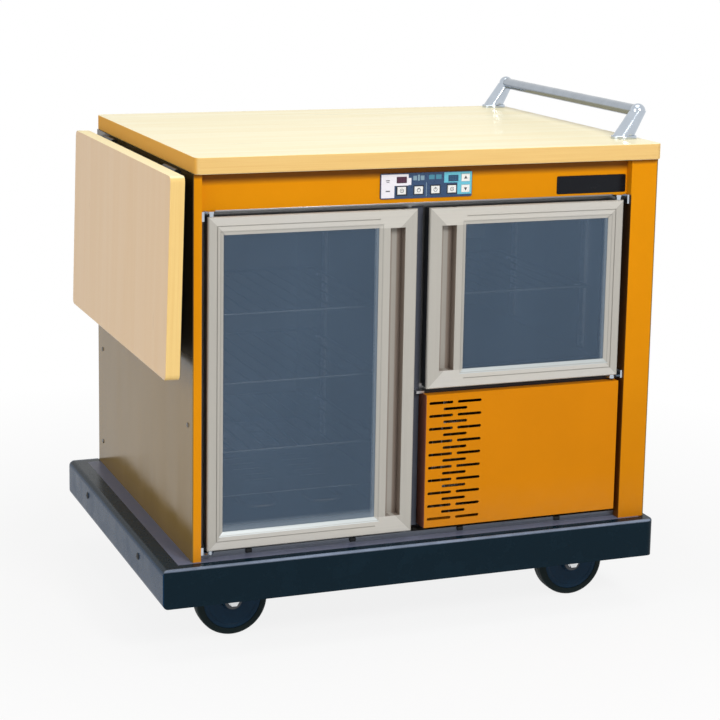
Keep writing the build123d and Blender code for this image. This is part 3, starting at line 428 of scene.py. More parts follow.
def bumper_skin(name, colour, rubbed, side, low, high):
    """Smooth dark moulded rails: painted highlights on the front, back and right top edges, a painted
    reflection on the left face.
    """
    finish = Finish(name, specular=0.2, bend=1.3)
    scuff = finish.noise(18.0, detail=6.0, rough=0.65)
    streak = finish.noise(9.0, (1.0, 1.0, 3.0), detail=4.0)
    tint = finish.fade(scuff, 0.55, 0.5, 0.8, colour, scaled(colour, 1.5, 0.002))
    # Painted reflection: the left rail's outer face gets a paler, bluer colour
    left_face_reflection = finish.spread(finish.axes()[X], 1.0, 0.0, low.x + 0.0012, low.x + 0.0032)
    tint = finish.blend(left_face_reflection, tint, side)
    # Painted highlight along the rounded top edges of the front, back and right rails, broken up by streaks
    edges = (((0, low.y, high.z), X), ((0, high.y, high.z), X), ((high.x, 0, high.z), Y))
    near = finish.gather("MINIMUM", *(finish.radius(corner, axis) for corner, axis in edges))
    edge_highlight = finish.spread(near, 0.9, 0.0, 0.0032, 0.0056)
    edge_highlight = finish.reckon("MULTIPLY", edge_highlight, finish.spread(streak, 0.45, 1.0, 0.3, 0.6))
    tint = finish.blend(edge_highlight, tint, rubbed)
    rough = finish.spread(scuff, 0.2, 0.34, 0.3, 0.75)
    return finish.done(tint, rough, finish.noise(520.0, detail=2.0), 0.00005, 0.35)


def fork_plating(name, colour, bright, axles):
    """Dark plated caster steel whose axle bolts are left bright."""
    finish = Finish(name, metal=1.0, brushed=0.3)
    stroke = finish.noise(1.0, grain(Z, 420.0, 8.0), detail=4.0, rough=0.6)
    tint = finish.fade(stroke, 0.7, 0.3, 0.75, colour, scaled(colour, 0.75))
    across = finish.axes()[Y]
    for centre, reach in axles:
        head = finish.reckon("LESS_THAN", finish.radius(centre, Y), AXLE_HEAD)
        off = finish.reckon("ABSOLUTE", finish.reckon("SUBTRACT", across, centre.y))
        outside = finish.reckon("GREATER_THAN", off, reach)
        tint = finish.blend(finish.reckon("MULTIPLY", head, outside), tint, bright)
    return finish.done(tint, finish.spread(stroke, 0.26, 0.46, 0.25, 0.75), stroke, 0.00004, 0.35)


def brushed(name, colour, along, rough=0.3, tones=()):
    """Metal with a fine brushed grain that runs along one axis."""
    finish = Finish(name, metal=1.0, brushed=0.4)
    stroke = finish.noise(1.0, grain(along, 520.0, 6.0), detail=4.0, rough=0.6)
    dark = scaled(colour, 0.8)
    tint = finish.fade(stroke, 0.7, 0.3, 0.75, colour, dark)
    tint = finish.fade(finish.noise(9.0), 0.3, 0.4, 0.8, tint, dark)
    sheen = finish.spread(stroke, rough - 0.08, rough + 0.12, 0.25, 0.75)
    return finish.done(finish.toned(tint, tones), sheen, stroke, 0.00004, 0.35)


def polished(name, colour, rough, tones=()):
    """Bright plated metal with faint smears in its polish."""
    finish = Finish(name, metal=1.0)
    smear = finish.noise(34.0, detail=5.0, rough=0.6)
    tint = finish.fade(smear, 0.6, 0.35, 0.7, colour, scaled(colour, 0.82))
    sheen = finish.spread(smear, rough - 0.05, rough + 0.1, 0.3, 0.75)
    return finish.done(finish.toned(tint, tones), sheen, finish.noise(240.0, detail=2.0), 0.00003, 0.3)


def satin_extrusion(name, colour, shade, low, high, opening, grip):
    """Door frame of mitred satin bars drawn along their length, with a dark seam and painted shade on stiles,
    bottom bead and grip.
    """
    finish = Finish(name, metal=0.1, specular=0.35)
    reckon = finish.reckon
    x, y, z = finish.axes()
    from_side = reckon("MINIMUM", reckon("SUBTRACT", x, low.x), reckon("SUBTRACT", high.x, x))
    from_end = reckon("MINIMUM", reckon("SUBTRACT", z, low.z), reckon("SUBTRACT", high.z, z))
    past_mitre = reckon("SUBTRACT", from_end, from_side)
    between = reckon("GREATER_THAN", from_end, DOOR_RAIL)
    stile = reckon("MAXIMUM", reckon("GREATER_THAN", past_mitre, 0.0), between)
    level = finish.noise(1.0, grain(X, 300.0, 3.0), detail=4.0)
    upright = finish.noise(1.0, grain(Z, 300.0, 3.0), detail=4.0)
    drawn = reckon("MULTIPLY_ADD", stile, reckon("SUBTRACT", upright, level), level)
    cloud = finish.noise(6.0, detail=4.0)
    # Stiles get a darker copy of the colour than the rails: painted shade for how light falls on their
    # upright grain
    dull = scaled(colour, 0.78)
    plain = finish.blend(stile, colour, dull)
    dark = finish.blend(stile, scaled(colour, 0.9), scaled(dull, 0.9))
    cool = finish.blend(stile, scaled(colour, (0.95, 0.97, 1.02)), dull)
    tint = finish.fade(drawn, 0.55, 0.35, 0.7, plain, dark)
    tint = finish.fade(cloud, 0.8, 0.35, 0.7, tint, cool)

    # Painted shade with a cool cast on the upward sloping glass bead of the bottom rail
    slope = DOOR_RAIL - GLAZING_BEAD
    bottom_bead_shade = finish.gather(
        "MULTIPLY",
        finish.spread(from_end, 0.0, 1.0, slope - 0.0005, slope + 0.0005),
        reckon("LESS_THAN", z, (low.z + high.z) / 2),
        reckon("GREATER_THAN", reckon("SUBTRACT", x, from_end), opening[0] - DOOR_RAIL),
        reckon("LESS_THAN", reckon("ADD", x, from_end), opening[1] + DOOR_RAIL),
    )
    tint = finish.blend(bottom_bead_shade, tint, scaled(colour, (0.78, 0.88, 0.98)))

    seam = finish.within(y, low.y + 0.0008, low.y + 0.0016)
    mitre = reckon("MULTIPLY", finish.within(past_mitre, -0.0003, 0.0003), reckon("SUBTRACT", 1.0, between))
    lines = reckon("MULTIPLY", reckon("MAXIMUM", seam, mitre), 0.5)
    tint = finish.blend(lines, tint, scaled(colour, 0.45))

    # Painted shade in the grip channel, darkest on its wall and behind its lip
    left, right = grip
    inside = reckon("MULTIPLY", finish.within(x, left, right), reckon("GREATER_THAN", y, low.y + 0.002))
    wall = finish.spread(x, 0.0, 1.0, right - 0.0120, right - 0.0080)
    lip = finish.spread(x, 0.8, 0.0, left + 0.0115, left + 0.0155)
    depth = finish.gather("MAXIMUM", wall, lip, 0.2)
    tint = finish.blend(reckon("MULTIPLY", inside, depth), tint, shade)
    return finish.done(tint, finish.spread(drawn, 0.3, 0.44, 0.3, 0.7), drawn, 0.00003, 0.3)


def slate_pane(name, colour, front, tones):
    """Double glazing with faint wiping marks: the outer pane is slate and the inner one clearer."""
    finish = Finish(name, specular=0.5)
    wiped = finish.noise(9.0, (1.0, 1.0, 0.35), detail=5.0)
    tint = finish.fade(wiped, 0.5, 0.4, 0.75, colour, scaled(colour, 1.25, 0.01))
    outer = finish.within(finish.axes()[Y], front - 0.0005, front + PANE / 2)
    finish.set(alpha=finish.spread(outer, 0.10, 0.62))
    return finish.done(finish.toned(tint, tones), finish.spread(wiped, 0.03, 0.09, 0.35, 0.8))


def ringed_rubber(name, colour, centre, rough, pitch, depth):
    """Wheel rubber or plastic with fine turning rings round its own axle."""
    finish = Finish(name, specular=0.14)
    rings = finish.waves(finish.radius(centre, Y), pitch)
    scuff = finish.noise(70.0, detail=6.0, rough=0.7)
    tint = finish.fade(scuff, 0.6, 0.5, 0.85, colour, scaled(colour, 1.6, 0.003))
    sheen = finish.spread(scuff, rough - 0.05, rough + 0.12, 0.3, 0.8)
    return finish.done(tint, sheen, finish.reckon("MULTIPLY_ADD", scuff, 0.6, rings), depth, 0.4)


def fin_stack(name, colour, along, pitch):
    """Coil block of thin fins, shaded between the fins, with dusty edges."""
    finish = Finish(name, metal=0.7, specular=0.4)
    fins = finish.waves(finish.axes()[along], pitch)
    dust = finish.noise(40.0, detail=5.0)
    tint = finish.fade(fins, 1.0, -0.6, 0.8, scaled(colour, 0.35), colour)
    tint = finish.fade(dust, 0.5, 0.45, 0.8, tint, TINTS["fin_dust"])
    return finish.done(tint, finish.spread(dust, 0.3, 0.6), fins, 0.0004, 0.5)


def cut_foam(name, colour):
    """Poured foam with cut cells and darker skin patches."""
    finish = Finish(name, specular=0.2)
    cell = finish.cells(420.0)
    skin = finish.noise(12.0, detail=4.0)
    brown = scaled(colour, (0.75, 0.62, 0.42))
    tint = finish.fade(skin, 0.7, 0.4, 0.75, colour, brown)
    tint = finish.blend(finish.spread(cell, 0.4, 0.0, 0.0, 0.35), tint, brown)
    return finish.done(tint, finish.spread(skin, 0.75, 0.92), cell, 0.0006, 0.6)


def smoked_lens(name, colour, low, high):
    """Display window: dark tinted lens with the faint outline of unlit bars behind it."""
    finish = Finish(name, specular=0.5)
    x, _, z = finish.axes()
    width, height = high[0] - low[0], high[1] - low[1]
    step = (1 - 2 * LENS_MARGIN) * width / LENS_DIGITS
    bars = []
    for digit in range(LENS_DIGITS):
        left = low[0] + LENS_MARGIN * width + digit * step
        right = left + LENS_BAR_LENGTH * step
        for share in LENS_BARS:
            foot = low[1] + height * share
            bars.append(finish.patch(x, z, (left, foot), (right, foot + LENS_BAR_HEIGHT * height)))
    deep = finish.blend(finish.noise(260.0), colour, scaled(colour, 0.8))
    tint = finish.blend(finish.gather("MAXIMUM", *bars), deep, scaled(colour, 1.9, 0.012))
    return finish.done(tint, finish.spread(finish.noise(90.0), 0.06, 0.14))


def printed_film(name, ground):
    """Film of the fascia: fields of colour printed on a dark ground."""
    finish = Finish(name, specular=0.45)
    x, _, z = finish.axes()
    tint = finish.blend(finish.noise(150.0), ground, scaled(ground, 1.5, 0.006))
    for field, rectangles in FASCIA_PRINT.items():
        masks = [finish.patch(x, z, *fascia_spot(*rectangle)) for rectangle in rectangles]
        colour = TINTS[field] if field in TINTS else hue(field)
        tint = finish.blend(finish.gather("MAXIMUM", *masks), tint, colour)
    rough = finish.spread(finish.noise(120.0), 0.22, 0.34)
    return finish.done(tint, rough, finish.noise(900.0), 0.00003, 0.3)


def key_cap(name, colour):
    """Pale key plastic, greyer where fingers have rubbed it."""
    finish = Finish(name, specular=0.45)
    rubbed = finish.noise(160.0, detail=4.0)
    tint = finish.fade(rubbed, 0.5, 0.4, 0.8, colour, TINTS["key_worn"])
    return finish.done(tint, finish.spread(rubbed, 0.34, 0.5), finish.noise(1200.0), 0.00003, 0.3)


# Mesh tools


def piece_from(bm, name, body, material):
    """Merges and turns the faces outwards, then hands the mesh over as a piece that rides on a body."""
    bmesh.ops.remove_doubles(bm, verts=bm.verts, dist=1e-6)
    bmesh.ops.recalc_face_normals(bm, faces=bm.faces)
    for face in bm.faces:
        face.smooth = True
    mesh = bpy.data.meshes.new(name)
    bm.to_mesh(mesh)
    bm.free()
    mesh.set_sharp_from_angle(angle=CREASE)
    mesh.materials.append(material)
    made = bpy.data.objects.new(name, mesh)
    bpy.context.scene.collection.objects.link(made)
    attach(made, body)
    return made


def soften(bm, edges, radius, segments=3):
    bmesh.ops.bevel(
        bm, geom=list(edges), offset=radius, offset_type="OFFSET", segments=segments, profile=0.5,
        affect="EDGES", clamp_overlap=True, material=-1,
    )


def box_edges(bm, low, high):
    """Makes a box from corner to corner and gives back its edges."""
    low, high = Vector(low), Vector(high)
    place = Matrix.LocRotScale((low + high) / 2, None, high - low)
    verts = bmesh.ops.create_cube(bm, size=1.0, matrix=place)["verts"]
    return list({edge for vert in verts for edge in vert.link_edges})


def block(bm, low, high, radius, segments=2):
    """A block from corner to corner with its edges softened."""
    soften(bm, box_edges(bm, low, high), radius, segments)


def plate(bm, low, high, corner, rim, segments=5):
    """A plate that faces the front: rounded corners, and a softened edge round its face."""
    edges = box_edges(bm, low, high)
    upright = [e for e in edges if abs((e.verts[0].co - e.verts[1].co).normalized().y) > 0.9]
    soften(bm, upright, corner, segments)
    near = [f for f in bm.faces if f.normal.y < -0.9 and abs(f.calc_center_median().y - low[Y]) < 1e-6]
    soften(bm, {e for f in near for e in f.edges}, rim)


def thicken(bm, faces, offset):
    """Pulls a region of faces out by an offset."""
    grown = bmesh.ops.extrude_face_region(bm, geom=faces)["geom"]
    moved = [part for part in grown if isinstance(part, bmesh.types.BMVert)]
    bmesh.ops.translate(bm, verts=moved, vec=offset)


def front_ring(bm, low, high, band, rim):
    """A flat frame that faces the front, rounded at the front edges that lie exactly in its plane."""
    low, high = Vector(low), Vector(high)
    corners = ((low.x, low.z), (high.x, low.z), (high.x, high.z), (low.x, high.z))
    inner = bm.faces.new([bm.verts.new((x, low.y, z)) for x, z in corners])
    around = bmesh.ops.inset_region(
        bm, faces=[inner], thickness=band, use_boundary=True, use_even_offset=True
    )["faces"]
    bmesh.ops.delete(bm, geom=[inner], context="FACES_ONLY")
    thicken(bm, around, (0, high.y - low.y, 0))
    bm.normal_update()
    front = [e for e in bm.edges if all(abs(v.co.y - low.y) < 1e-7 for v in e.verts)]
    soften(bm, [e for e in front if any(abs(f.normal.y) < 0.5 for f in e.link_faces)], rim)


def turned(bm, profile, place, axis, steps, closed=True):
    """A profile of radius and height pairs, spun right round an axis."""
    axis = Vector(axis).normalized()
    side = axis.orthogonal().normalized()
    verts = [bm.verts.new(Vector(place) + side * r + axis * h) for r, h in profile]
    pairs = list(zip(verts, verts[1:]))
    if closed:
        pairs.append((verts[-1], verts[0]))
    edges = [bm.edges.new(pair) for pair in pairs]
    bmesh.ops.spin(
        bm, geom=verts + edges, cent=Vector(place), axis=axis, angle=2 * math.pi, steps=steps, use_merge=True,
        use_duplicate=False,
    )


def disc(bm, radius, segments):
    """Makes a flat disc or polygon that faces up and gives back its face."""
    made = bmesh.ops.create_circle(bm, cap_ends=True, radius=radius, segments=segments)
    return made["verts"][0].link_faces[0]


def raised(bm, face, rise, shrink=1.0):
    """Pulls a face up out of itself, draws it in and gives back the new face."""
    face = bmesh.ops.extrude_discrete_faces(bm, faces=[face])["faces"][0]
    bmesh.ops.translate(bm, verts=face.verts, vec=(0, 0, rise))
    bmesh.ops.scale(bm, verts=face.verts, vec=(shrink, shrink, 1))
    return face


def stand(bm, first, place, outward):
    """Sets what was made from the first vertex on at a place, with its top outward."""
    turn = Vector(outward).to_track_quat("Z", "Y").to_matrix().to_4x4()
    bmesh.ops.transform(bm, matrix=Matrix.Translation(Vector(place)) @ turn, verts=list(bm.verts)[first:])


def cross_screw(bm, place, outward, radius, height):
    """A pan-head screw: domed head with a cross recess."""
    first = len(bm.verts)
    face = disc(bm, radius, HEAD_STEPS)
    for rise, shrink in ((0.45, 0.94), (0.35, 0.8), (0.2, 0.7)):
        face = raised(bm, face, height * rise, shrink)
    recess = raised(bm, face, 0.0)
    for vert in recess.verts:
        arm = abs(math.sin(2 * math.atan2(vert.co.y, vert.co.x))) < 0.3
        shrink = 0.86 if arm else 0.36
        vert.co.x, vert.co.y = vert.co.x * shrink, vert.co.y * shrink
    raised(bm, recess, -0.6 * height)
    stand(bm, first, place, outward)


def hex_bolt(bm, place, outward, width, height, washer):
    """A hexagon head with a chamfered top, on a round washer."""
    first = len(bm.verts)
    sheet = 0.2 * height
    raised(bm, disc(bm, washer, HEAD_STEPS), sheet)
    head = disc(bm, width / math.sqrt(3), 6)
    bmesh.ops.translate(bm, verts=head.verts, vec=(0, 0, sheet))
    for rise, shrink in ((0.66, 1.0), (0.14, 0.86)):
        head = raised(bm, head, height * rise, shrink)
    stand(bm, first, place, outward)


# Sizes and colours


def colour_choice(name, words, default):
    return FloatVectorProperty(
        name=name, description=words, default=default, subtype="COLOR", size=3, min=0.0, max=1.0
    )


def length_choice(name, words, default):
    return FloatProperty(
        name=name, description=words, default=default, unit="LENGTH", subtype="DISTANCE", min=0.0001
    )


class CartColours(PropertyGroup):
    """Colours of the cart's finishes"""

    paint: colour_choice("Paint", "Baked paint of the front", (0.76, 0.28, 0.002))
    side: colour_choice("Side sheet", "Coated sheet of the ends and the back", (0.200, 0.117, 0.014))
    board: colour_choice("Worktop face", "Wood face of the worktop", (0.95, 0.87, 0.57))
    leaf: colour_choice("Leaf face", "Wood face of the drop leaf", (0.80, 0.545, 0.295))
    leaf_back: colour_choice("Leaf back", "Dark backing sheet of the drop leaf", (0.012, 0.015, 0.02))
    board_edge: colour_choice("Worktop edge", "Edge band of the worktop", (0.81, 0.54, 0.20))
    leaf_edge: colour_choice("Leaf edge", "Edge band of the drop leaf", (0.86, 0.60, 0.225))
    bumper: colour_choice("Bumper", "Moulded rails round the base", (0.002, 0.012, 0.021))
    # Painted highlight along the top edges of the rails
    rubbed: colour_choice("Rubbed edge", "Worn top edge of the rails", (0.24, 0.29, 0.39))
    # Painted reflection on the outer face of the left rail
    rail_side: colour_choice("Left rail", "Outer side of the left rail", (0.003, 0.030, 0.076))
    deck: colour_choice("Deck", "Painted plate under the cabinet", (0.125, 0.148, 0.235))
    door: colour_choice("Door frame", "Satin frame of both doors", (0.580, 0.553, 0.497))
    # Painted shade inside the door grips
    grip: colour_choice("Grip shade", "Shaded lining of the door grips", (0.25, 0.20, 0.165))
    pane: colour_choice("Pane", "Slate tint of the door glass", (0.052, 0.096, 0.157))
    # Painted light at the edges of the glass, for the lit spacer seen through it
    glass_edge_light: colour_choice("Glass edge", "Pale spacer that shows at the edges of the glass", (0.42, 0.51, 0.60))
    bead: colour_choice("Glass bead", "Pale bead round each pane", (0.62, 0.63, 0.61))
    seal: colour_choice("Seal", "Black rubber of seals and door backs", (0.008, 0.009, 0.011))
    steel: colour_choice("Stainless", "Brushed stainless steel", (0.56, 0.57, 0.58))
    chrome: colour_choice("Chrome", "Plated handle and door hinges", (0.52, 0.575, 0.64))
    zinc: colour_choice("Dark zinc", "Plated forks, leaf hinges and stay", (0.20, 0.21, 0.23))
    tyre: colour_choice("Tyre", "Rubber tread of the wheels", (0.003, 0.010, 0.011))
    core: colour_choice("Wheel core", "Moulded centre of the wheels", (0.004, 0.026, 0.056))
    film: colour_choice("Fascia ground", "Ground colour of the printed fascia", (0.016, 0.045, 0.11))
    film_white: colour_choice("Fascia white", "White field of the printed fascia", (0.84, 0.82, 0.88))
    film_cyan: colour_choice("Fascia cyan", "Blue-green field of the printed fascia", (0.14, 0.52, 0.66))
    hot_lens: colour_choice("Hot display", "Lens of the hot display", (0.06, 0.008, 0.035))
    cold_lens: colour_choice("Cold display", "Lens of the cold display", (0.008, 0.06, 0.14))
    key: colour_choice("Keys", "Key caps", (0.86, 0.86, 0.84))
    blank: colour_choice("Blank plate", "Bare plate on the header", (0.005, 0.006, 0.009))


class CartSizes(PropertyGroup):
    """Sizes of the trim that is added to the cart"""

    header_trim: length_choice("Header trim", "Height of the bright strip under the header", 0.004)
    bead_width: length_choice("Glass bead", "Width of the pale bead round each pane", 0.0036)
    bead_proud: length_choice("Bead height", "How far the bead stands off the pane", 0.0010)
    panel_screw: length_choice("Panel screw", "Head radius of the screws in the ends and the back", 0.005)
    rail_bolt: length_choice("Rail bolt", "Head radius of the bolts in the left rail", 0.0075)
    stop_length: length_choice("Sill stop", "Length of each rubber stop on the sill", 0.013)
    blank_length: length_choice("Blank plate length", "Length of the bare plate", 0.158)
    blank_height: length_choice("Blank plate height", "Height of the bare plate", 0.037)
    tread_groove: length_choice("Tread groove", "Depth of the two grooves in each tread", 0.0007)
    caster_bolt: length_choice("Caster bolt", "Width across the flats of the caster plate bolts", 0.013)


def sizes():
    return bpy.context.scene.cart_sizes


def hue(name):
    return tuple(getattr(bpy.context.scene.cart_colours, name))


def coat(material, *nodes):
    """Gives CAD nodes their material."""
    for node in nodes:
        mesh = frame["nodes"][node].data
        mesh.materials.clear()
        mesh.materials.append(material)


def joint_place(name):
    return next(joint for joint in frame["joints"] if joint["name"] == name)["pos_m"]


def left_side(node):
    """A ramp that has risen only on a node's left side."""
    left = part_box(node)[0].x
    return X, left + 0.0012, left + 0.0006


def fascia_spot(left, top, right, foot):
    """Low and high corners of a field that is given in millimetres from the fascia's left and top edges."""
    low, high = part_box("control_fascia")
    return (low.x + left / 1000, high.z - foot / 1000), (low.x + right / 1000, high.z - top / 1000)


# Operators


class CART_OT_cabinet(Operator):
    """Paints the front, the ends and the back, and adds the bright strip under the header"""

    bl_idname = "cart.cabinet"
    bl_label = "Cabinet"

    def execute(self, context):
        self.front(hue("paint"))
        self.sheets(hue("side"))
        self.rails(hue("steel"))
        return {"FINISHED"}

    def front(self, paint):
        low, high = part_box("header_panel")
        under = tone(TINTS["header_shade"], 0.85, (Z, high.z - 0.027, high.z - 0.013))
        # Painted shadow of the worktop's overhang across the tops of the posts
        top = tone(TINTS["post_top_shadow"], 0.75, (Z, high.z - 0.012, high.z - 0.003))
        # Painted shade on the right post's left side, in the gap beside the cold door
        beside = tone(TINTS["post_side"], 0.96, left_side("post_right"), (Z, low.z + 0.002, low.z - 0.002))
        # Painted shade: the right post darker towards its foot, where less light falls
        foot = tone(TINTS["post_foot_shade"], 0.4, (Z, 0.80, 0.20))
        # Painted shade on the machine panel's left return, in the cold door's shadow
        fold_shade = tone(TINTS["panel_return"], 0.96, left_side("machine_panel"))
        coat(powder_coat("header_coat", paint, tones=[under]), "header_panel")
        coat(powder_coat("post_left_coat", paint, tones=[top]), "post_left")
        coat(powder_coat("post_right_coat", paint, tones=[top, beside, foot]), "post_right")
        # Painted shade: the machine panel gets a darker copy of the paint, as less light falls low down
        coat(powder_coat("panel_coat", scaled(paint, (0.88, 0.81, 1.0)), tones=[fold_shade]), "machine_panel")

    def sheets(self, sheet):
        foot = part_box("drop_leaf")[0].z
        # Painted shade on the left side sheet behind the drop leaf
        behind = tone(TINTS["behind_leaf_shade"], 0.8, (Z, foot + 0.01, foot + 0.05))
        coat(gloss_sheet("brown_sheet", sheet), "side_panel_right", "back_panel")
        coat(gloss_sheet("leaf_side_sheet", sheet, [behind]), "side_panel_left")

    def rails(self, steel):
        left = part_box("mid_rail")[0].x
        shaded = tone(TINTS["rail_shade"], 0.95, (X, left + 0.015, left + 0.018))
        coat(brushed("sill_steel", TINTS["sill"], X), "sill_rail")
        coat(brushed("rail_steel", steel, X, tones=[shaded]), "mid_rail")
        coat(moulded("divider_navy", TINTS["divider"], rough=0.45), "centre_divider")
        low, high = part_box("header_panel")
        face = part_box("sill_rail")[0].y
        near = (low.x, face - TRIM_PROUD, low.z - sizes().header_trim)
        bm = bmesh.new()
        block(bm, near, (high.x, face + TRIM_TUCK, low.z), TRIM_ROUND)
        strip = brushed("trim_steel", scaled(steel, 0.5), X)
        piece_from(bm, "header_trim", "cabinet", strip)


class CART_OT_boards(Operator):
    """Finishes the worktop and the drop leaf, with its hinges and its stay"""

    bl_idname = "cart.boards"
    bl_label = "Worktop and leaf"

    def execute(self, context):
        low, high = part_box("worktop")
        # Painted shade: the worktop's left edge band deeper and darker than its front edge, which catches
        # more light
        left_edge_shade = tone(TINTS["worktop_left_shade"], 1.0, (X, low.x + 0.006, low.x + 0.002))
        worktop = board_finish(
            "worktop_board", hue("board"), hue("board_edge"), X, Z, (low.z + EDGE_LINE, high.z - EDGE_LINE),
            figure=0.7, bend=1.32, tones=[left_edge_shade],
        )
        coat(worktop, "worktop")
        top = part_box("drop_leaf")[1].z
        # Painted highlight: the leaf's top edge band paler where light from above falls on it
        top_edge_highlight = tone(TINTS["leaf_top_highlight"], 1.0, (Z, top - 0.005, top - 0.0025))
        band = (-LEAF_OFFSET - LEAF_THICK + EDGE_LINE, -LEAF_OFFSET - EDGE_LINE)
        leaf = board_finish(
            "leaf_board", hue("leaf"), hue("leaf_edge"), Z, X, band, figure=0.2, bend=1.4,
            seen={"centre": joint_place("leaf_hinge"), "turn": (0, LEAF_LEAN, 0)}, backing=hue("leaf_back"),
            tones=[top_edge_highlight],
        )
        coat(leaf, "drop_leaf")
        zinc = hue("zinc")
        coat(brushed("dark_zinc", zinc, Y, rough=0.36), "swing_stay", "stay_brackets")
        # Painted shade: the leaf hinges get a far darker copy of the zinc, so they sink into the shaded gap
        black = brushed("black_zinc", scaled(zinc, 0.2), Y, rough=0.42)
        coat(black, "leaf_hinges_fixed", "leaf_hinges_moving")
        return {"FINISHED"}


class CART_OT_doors(Operator):
    """Finishes both doors and their hinges, and adds the glass beads and the glazing spacers"""

    bl_idname = "cart.doors"
    bl_label = "Doors"

    def execute(self, context):
        bead = moulded("bead_vinyl", hue("bead"), rough=0.36, pebble=600.0, depth=0.00006)
        spacer = moulded("spacer_white", TINTS["spacer"], rough=0.45, pebble=500.0, depth=0.00005)
        coat(moulded("door_back_black", hue("seal"), rough=0.5), "hot_door_back", "cold_door_back")
        coat(polished("hinge_plate", hue("chrome"), rough=0.16), "door_hinges")
        for door in ("hot_door", "cold_door"):
            low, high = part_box(door + "_glass")
            left, right = low.x + GLASS_OVERLAP, high.x - GLASS_OVERLAP
            foot, top = low.z + GLASS_OVERLAP, high.z - GLASS_OVERLAP
            self.face(door, (left, right))
            self.glass(door, low.y, right, foot)
            proud = sizes().bead_proud
            near = (left - BEAD_LAP, low.y - proud, foot - BEAD_LAP)
            far = (right + BEAD_LAP, low.y - BEAD_GAP, top + BEAD_LAP)
            bm = bmesh.new()
            front_ring(bm, near, far, sizes().bead_width, proud * BEAD_ROUND_SHARE)
            piece_from(bm, door + "_bead", door, bead)
            near = (left, low.y + PANE + SPACER_GAP, foot)
            far = (right, high.y - PANE - SPACER_GAP, top)
            bm = bmesh.new()
            front_ring(bm, near, far, SPACER_WIDTH, SPACER_ROUND)
            piece_from(bm, door + "_spacer", door, spacer)
        return {"FINISHED"}

    def face(self, door, opening):
        low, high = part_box(door + "_face")
        left = high.x - GRIP_RAIL - GRIP_WIDTH if door == "hot_door" else low.x + GRIP_RAIL
        grip = (left - GRIP_MARGIN, left + GRIP_WIDTH + GRIP_MARGIN)
        satin = satin_extrusion(door + "_frame", hue("door"), hue("grip"), low, high, opening, grip)
        coat(satin, door + "_face")

    def glass(self, door, front, right, foot):
        # Painted light: pale bands on the glass at its right edge, and at the hot door's foot, for the lit
        # spacer seen through it
        glass_edge_lights = [tone(hue("glass_edge_light"), 0.42, (X, right - 0.010, right - 0.004))]
        if door == "hot_door":
            glass_edge_lights.append(tone(hue("glass_edge_light"), 0.5, (Z, foot + 0.019, foot + 0.005)))
        coat(slate_pane(door + "_pane", hue("pane"), front, glass_edge_lights), door + "_glass")


class CART_OT_inside(Operator):
    """Finishes the liners, shelves, heater, coils, the machine compartment and the power gland"""

    bl_idname = "cart.inside"
    bl_label = "Inside"

    def execute(self, context):
        steel = hue("steel")
        coat(brushed("liner_steel", scaled(steel, 0.55), Z, rough=0.34), "hot_liner", "cold_liner")
        coat(brushed("pilaster_steel", TINTS["pilaster"], Z, rough=0.36), "pilasters")
        coat(polished("shelf_wire", TINTS["shelf_wire"], rough=0.36), "wire_shelves")
        coat(brushed("stainless_deep", steel, Y, rough=0.32), "heater_cover", "evaporator_cover", "drain_pan")
        coat(brushed("heater_sheath", TINTS["heater"], Y, rough=0.42), "heater")
        coat(fin_stack("coil_fins", TINTS["fins"], X, FIN_PITCH), "evaporator", "condenser")
        coat(powder_coat("pot_black", TINTS["pot"], gloss=0.22), "compressor", "fan_motor")
        black = moulded("moulded_black", TINTS["black_plastic"], rough=0.5)
        coat(black, "power_gland", "control_box", "condenser_fan")
        coat(cut_foam("yellow_foam", TINTS["foam"]), "insulation")
        return {"FINISHED"}


class CART_OT_base(Operator):
    """Finishes the deck, the bumper rails, the caster plates and the forks"""

    bl_idname = "cart.base"
    bl_label = "Base"

    def execute(self, context):
        coat(powder_coat("deck_coat", hue("deck"), gloss=0.32), "deck_plate")
        low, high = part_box("bumper_front")
        low.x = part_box("bumper_left")[0].x
        high.x, high.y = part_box("bumper_right")[1].x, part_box("bumper_rear")[1].y
        skin = bumper_skin("bumper_skin", hue("bumper"), hue("rubbed"), hue("rail_side"), low, high)
        coat(skin, "bumper_left", "bumper_front", "bumper_rear", "bumper_right")
        axles = []
        for corner in CORNERS:
            low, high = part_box("wheel_" + corner)
            axles.append(((low + high) / 2, (high.y - low.y) / 2 + AXLE_SHOULDER))
        plating = fork_plating("fork_zinc", scaled(hue("zinc"), 0.35), TINTS["axle_bolt"], axles)
        coat(plating, "caster_mounts", "swivel_fork_front", "swivel_fork_rear")
        return {"FINISHED"}


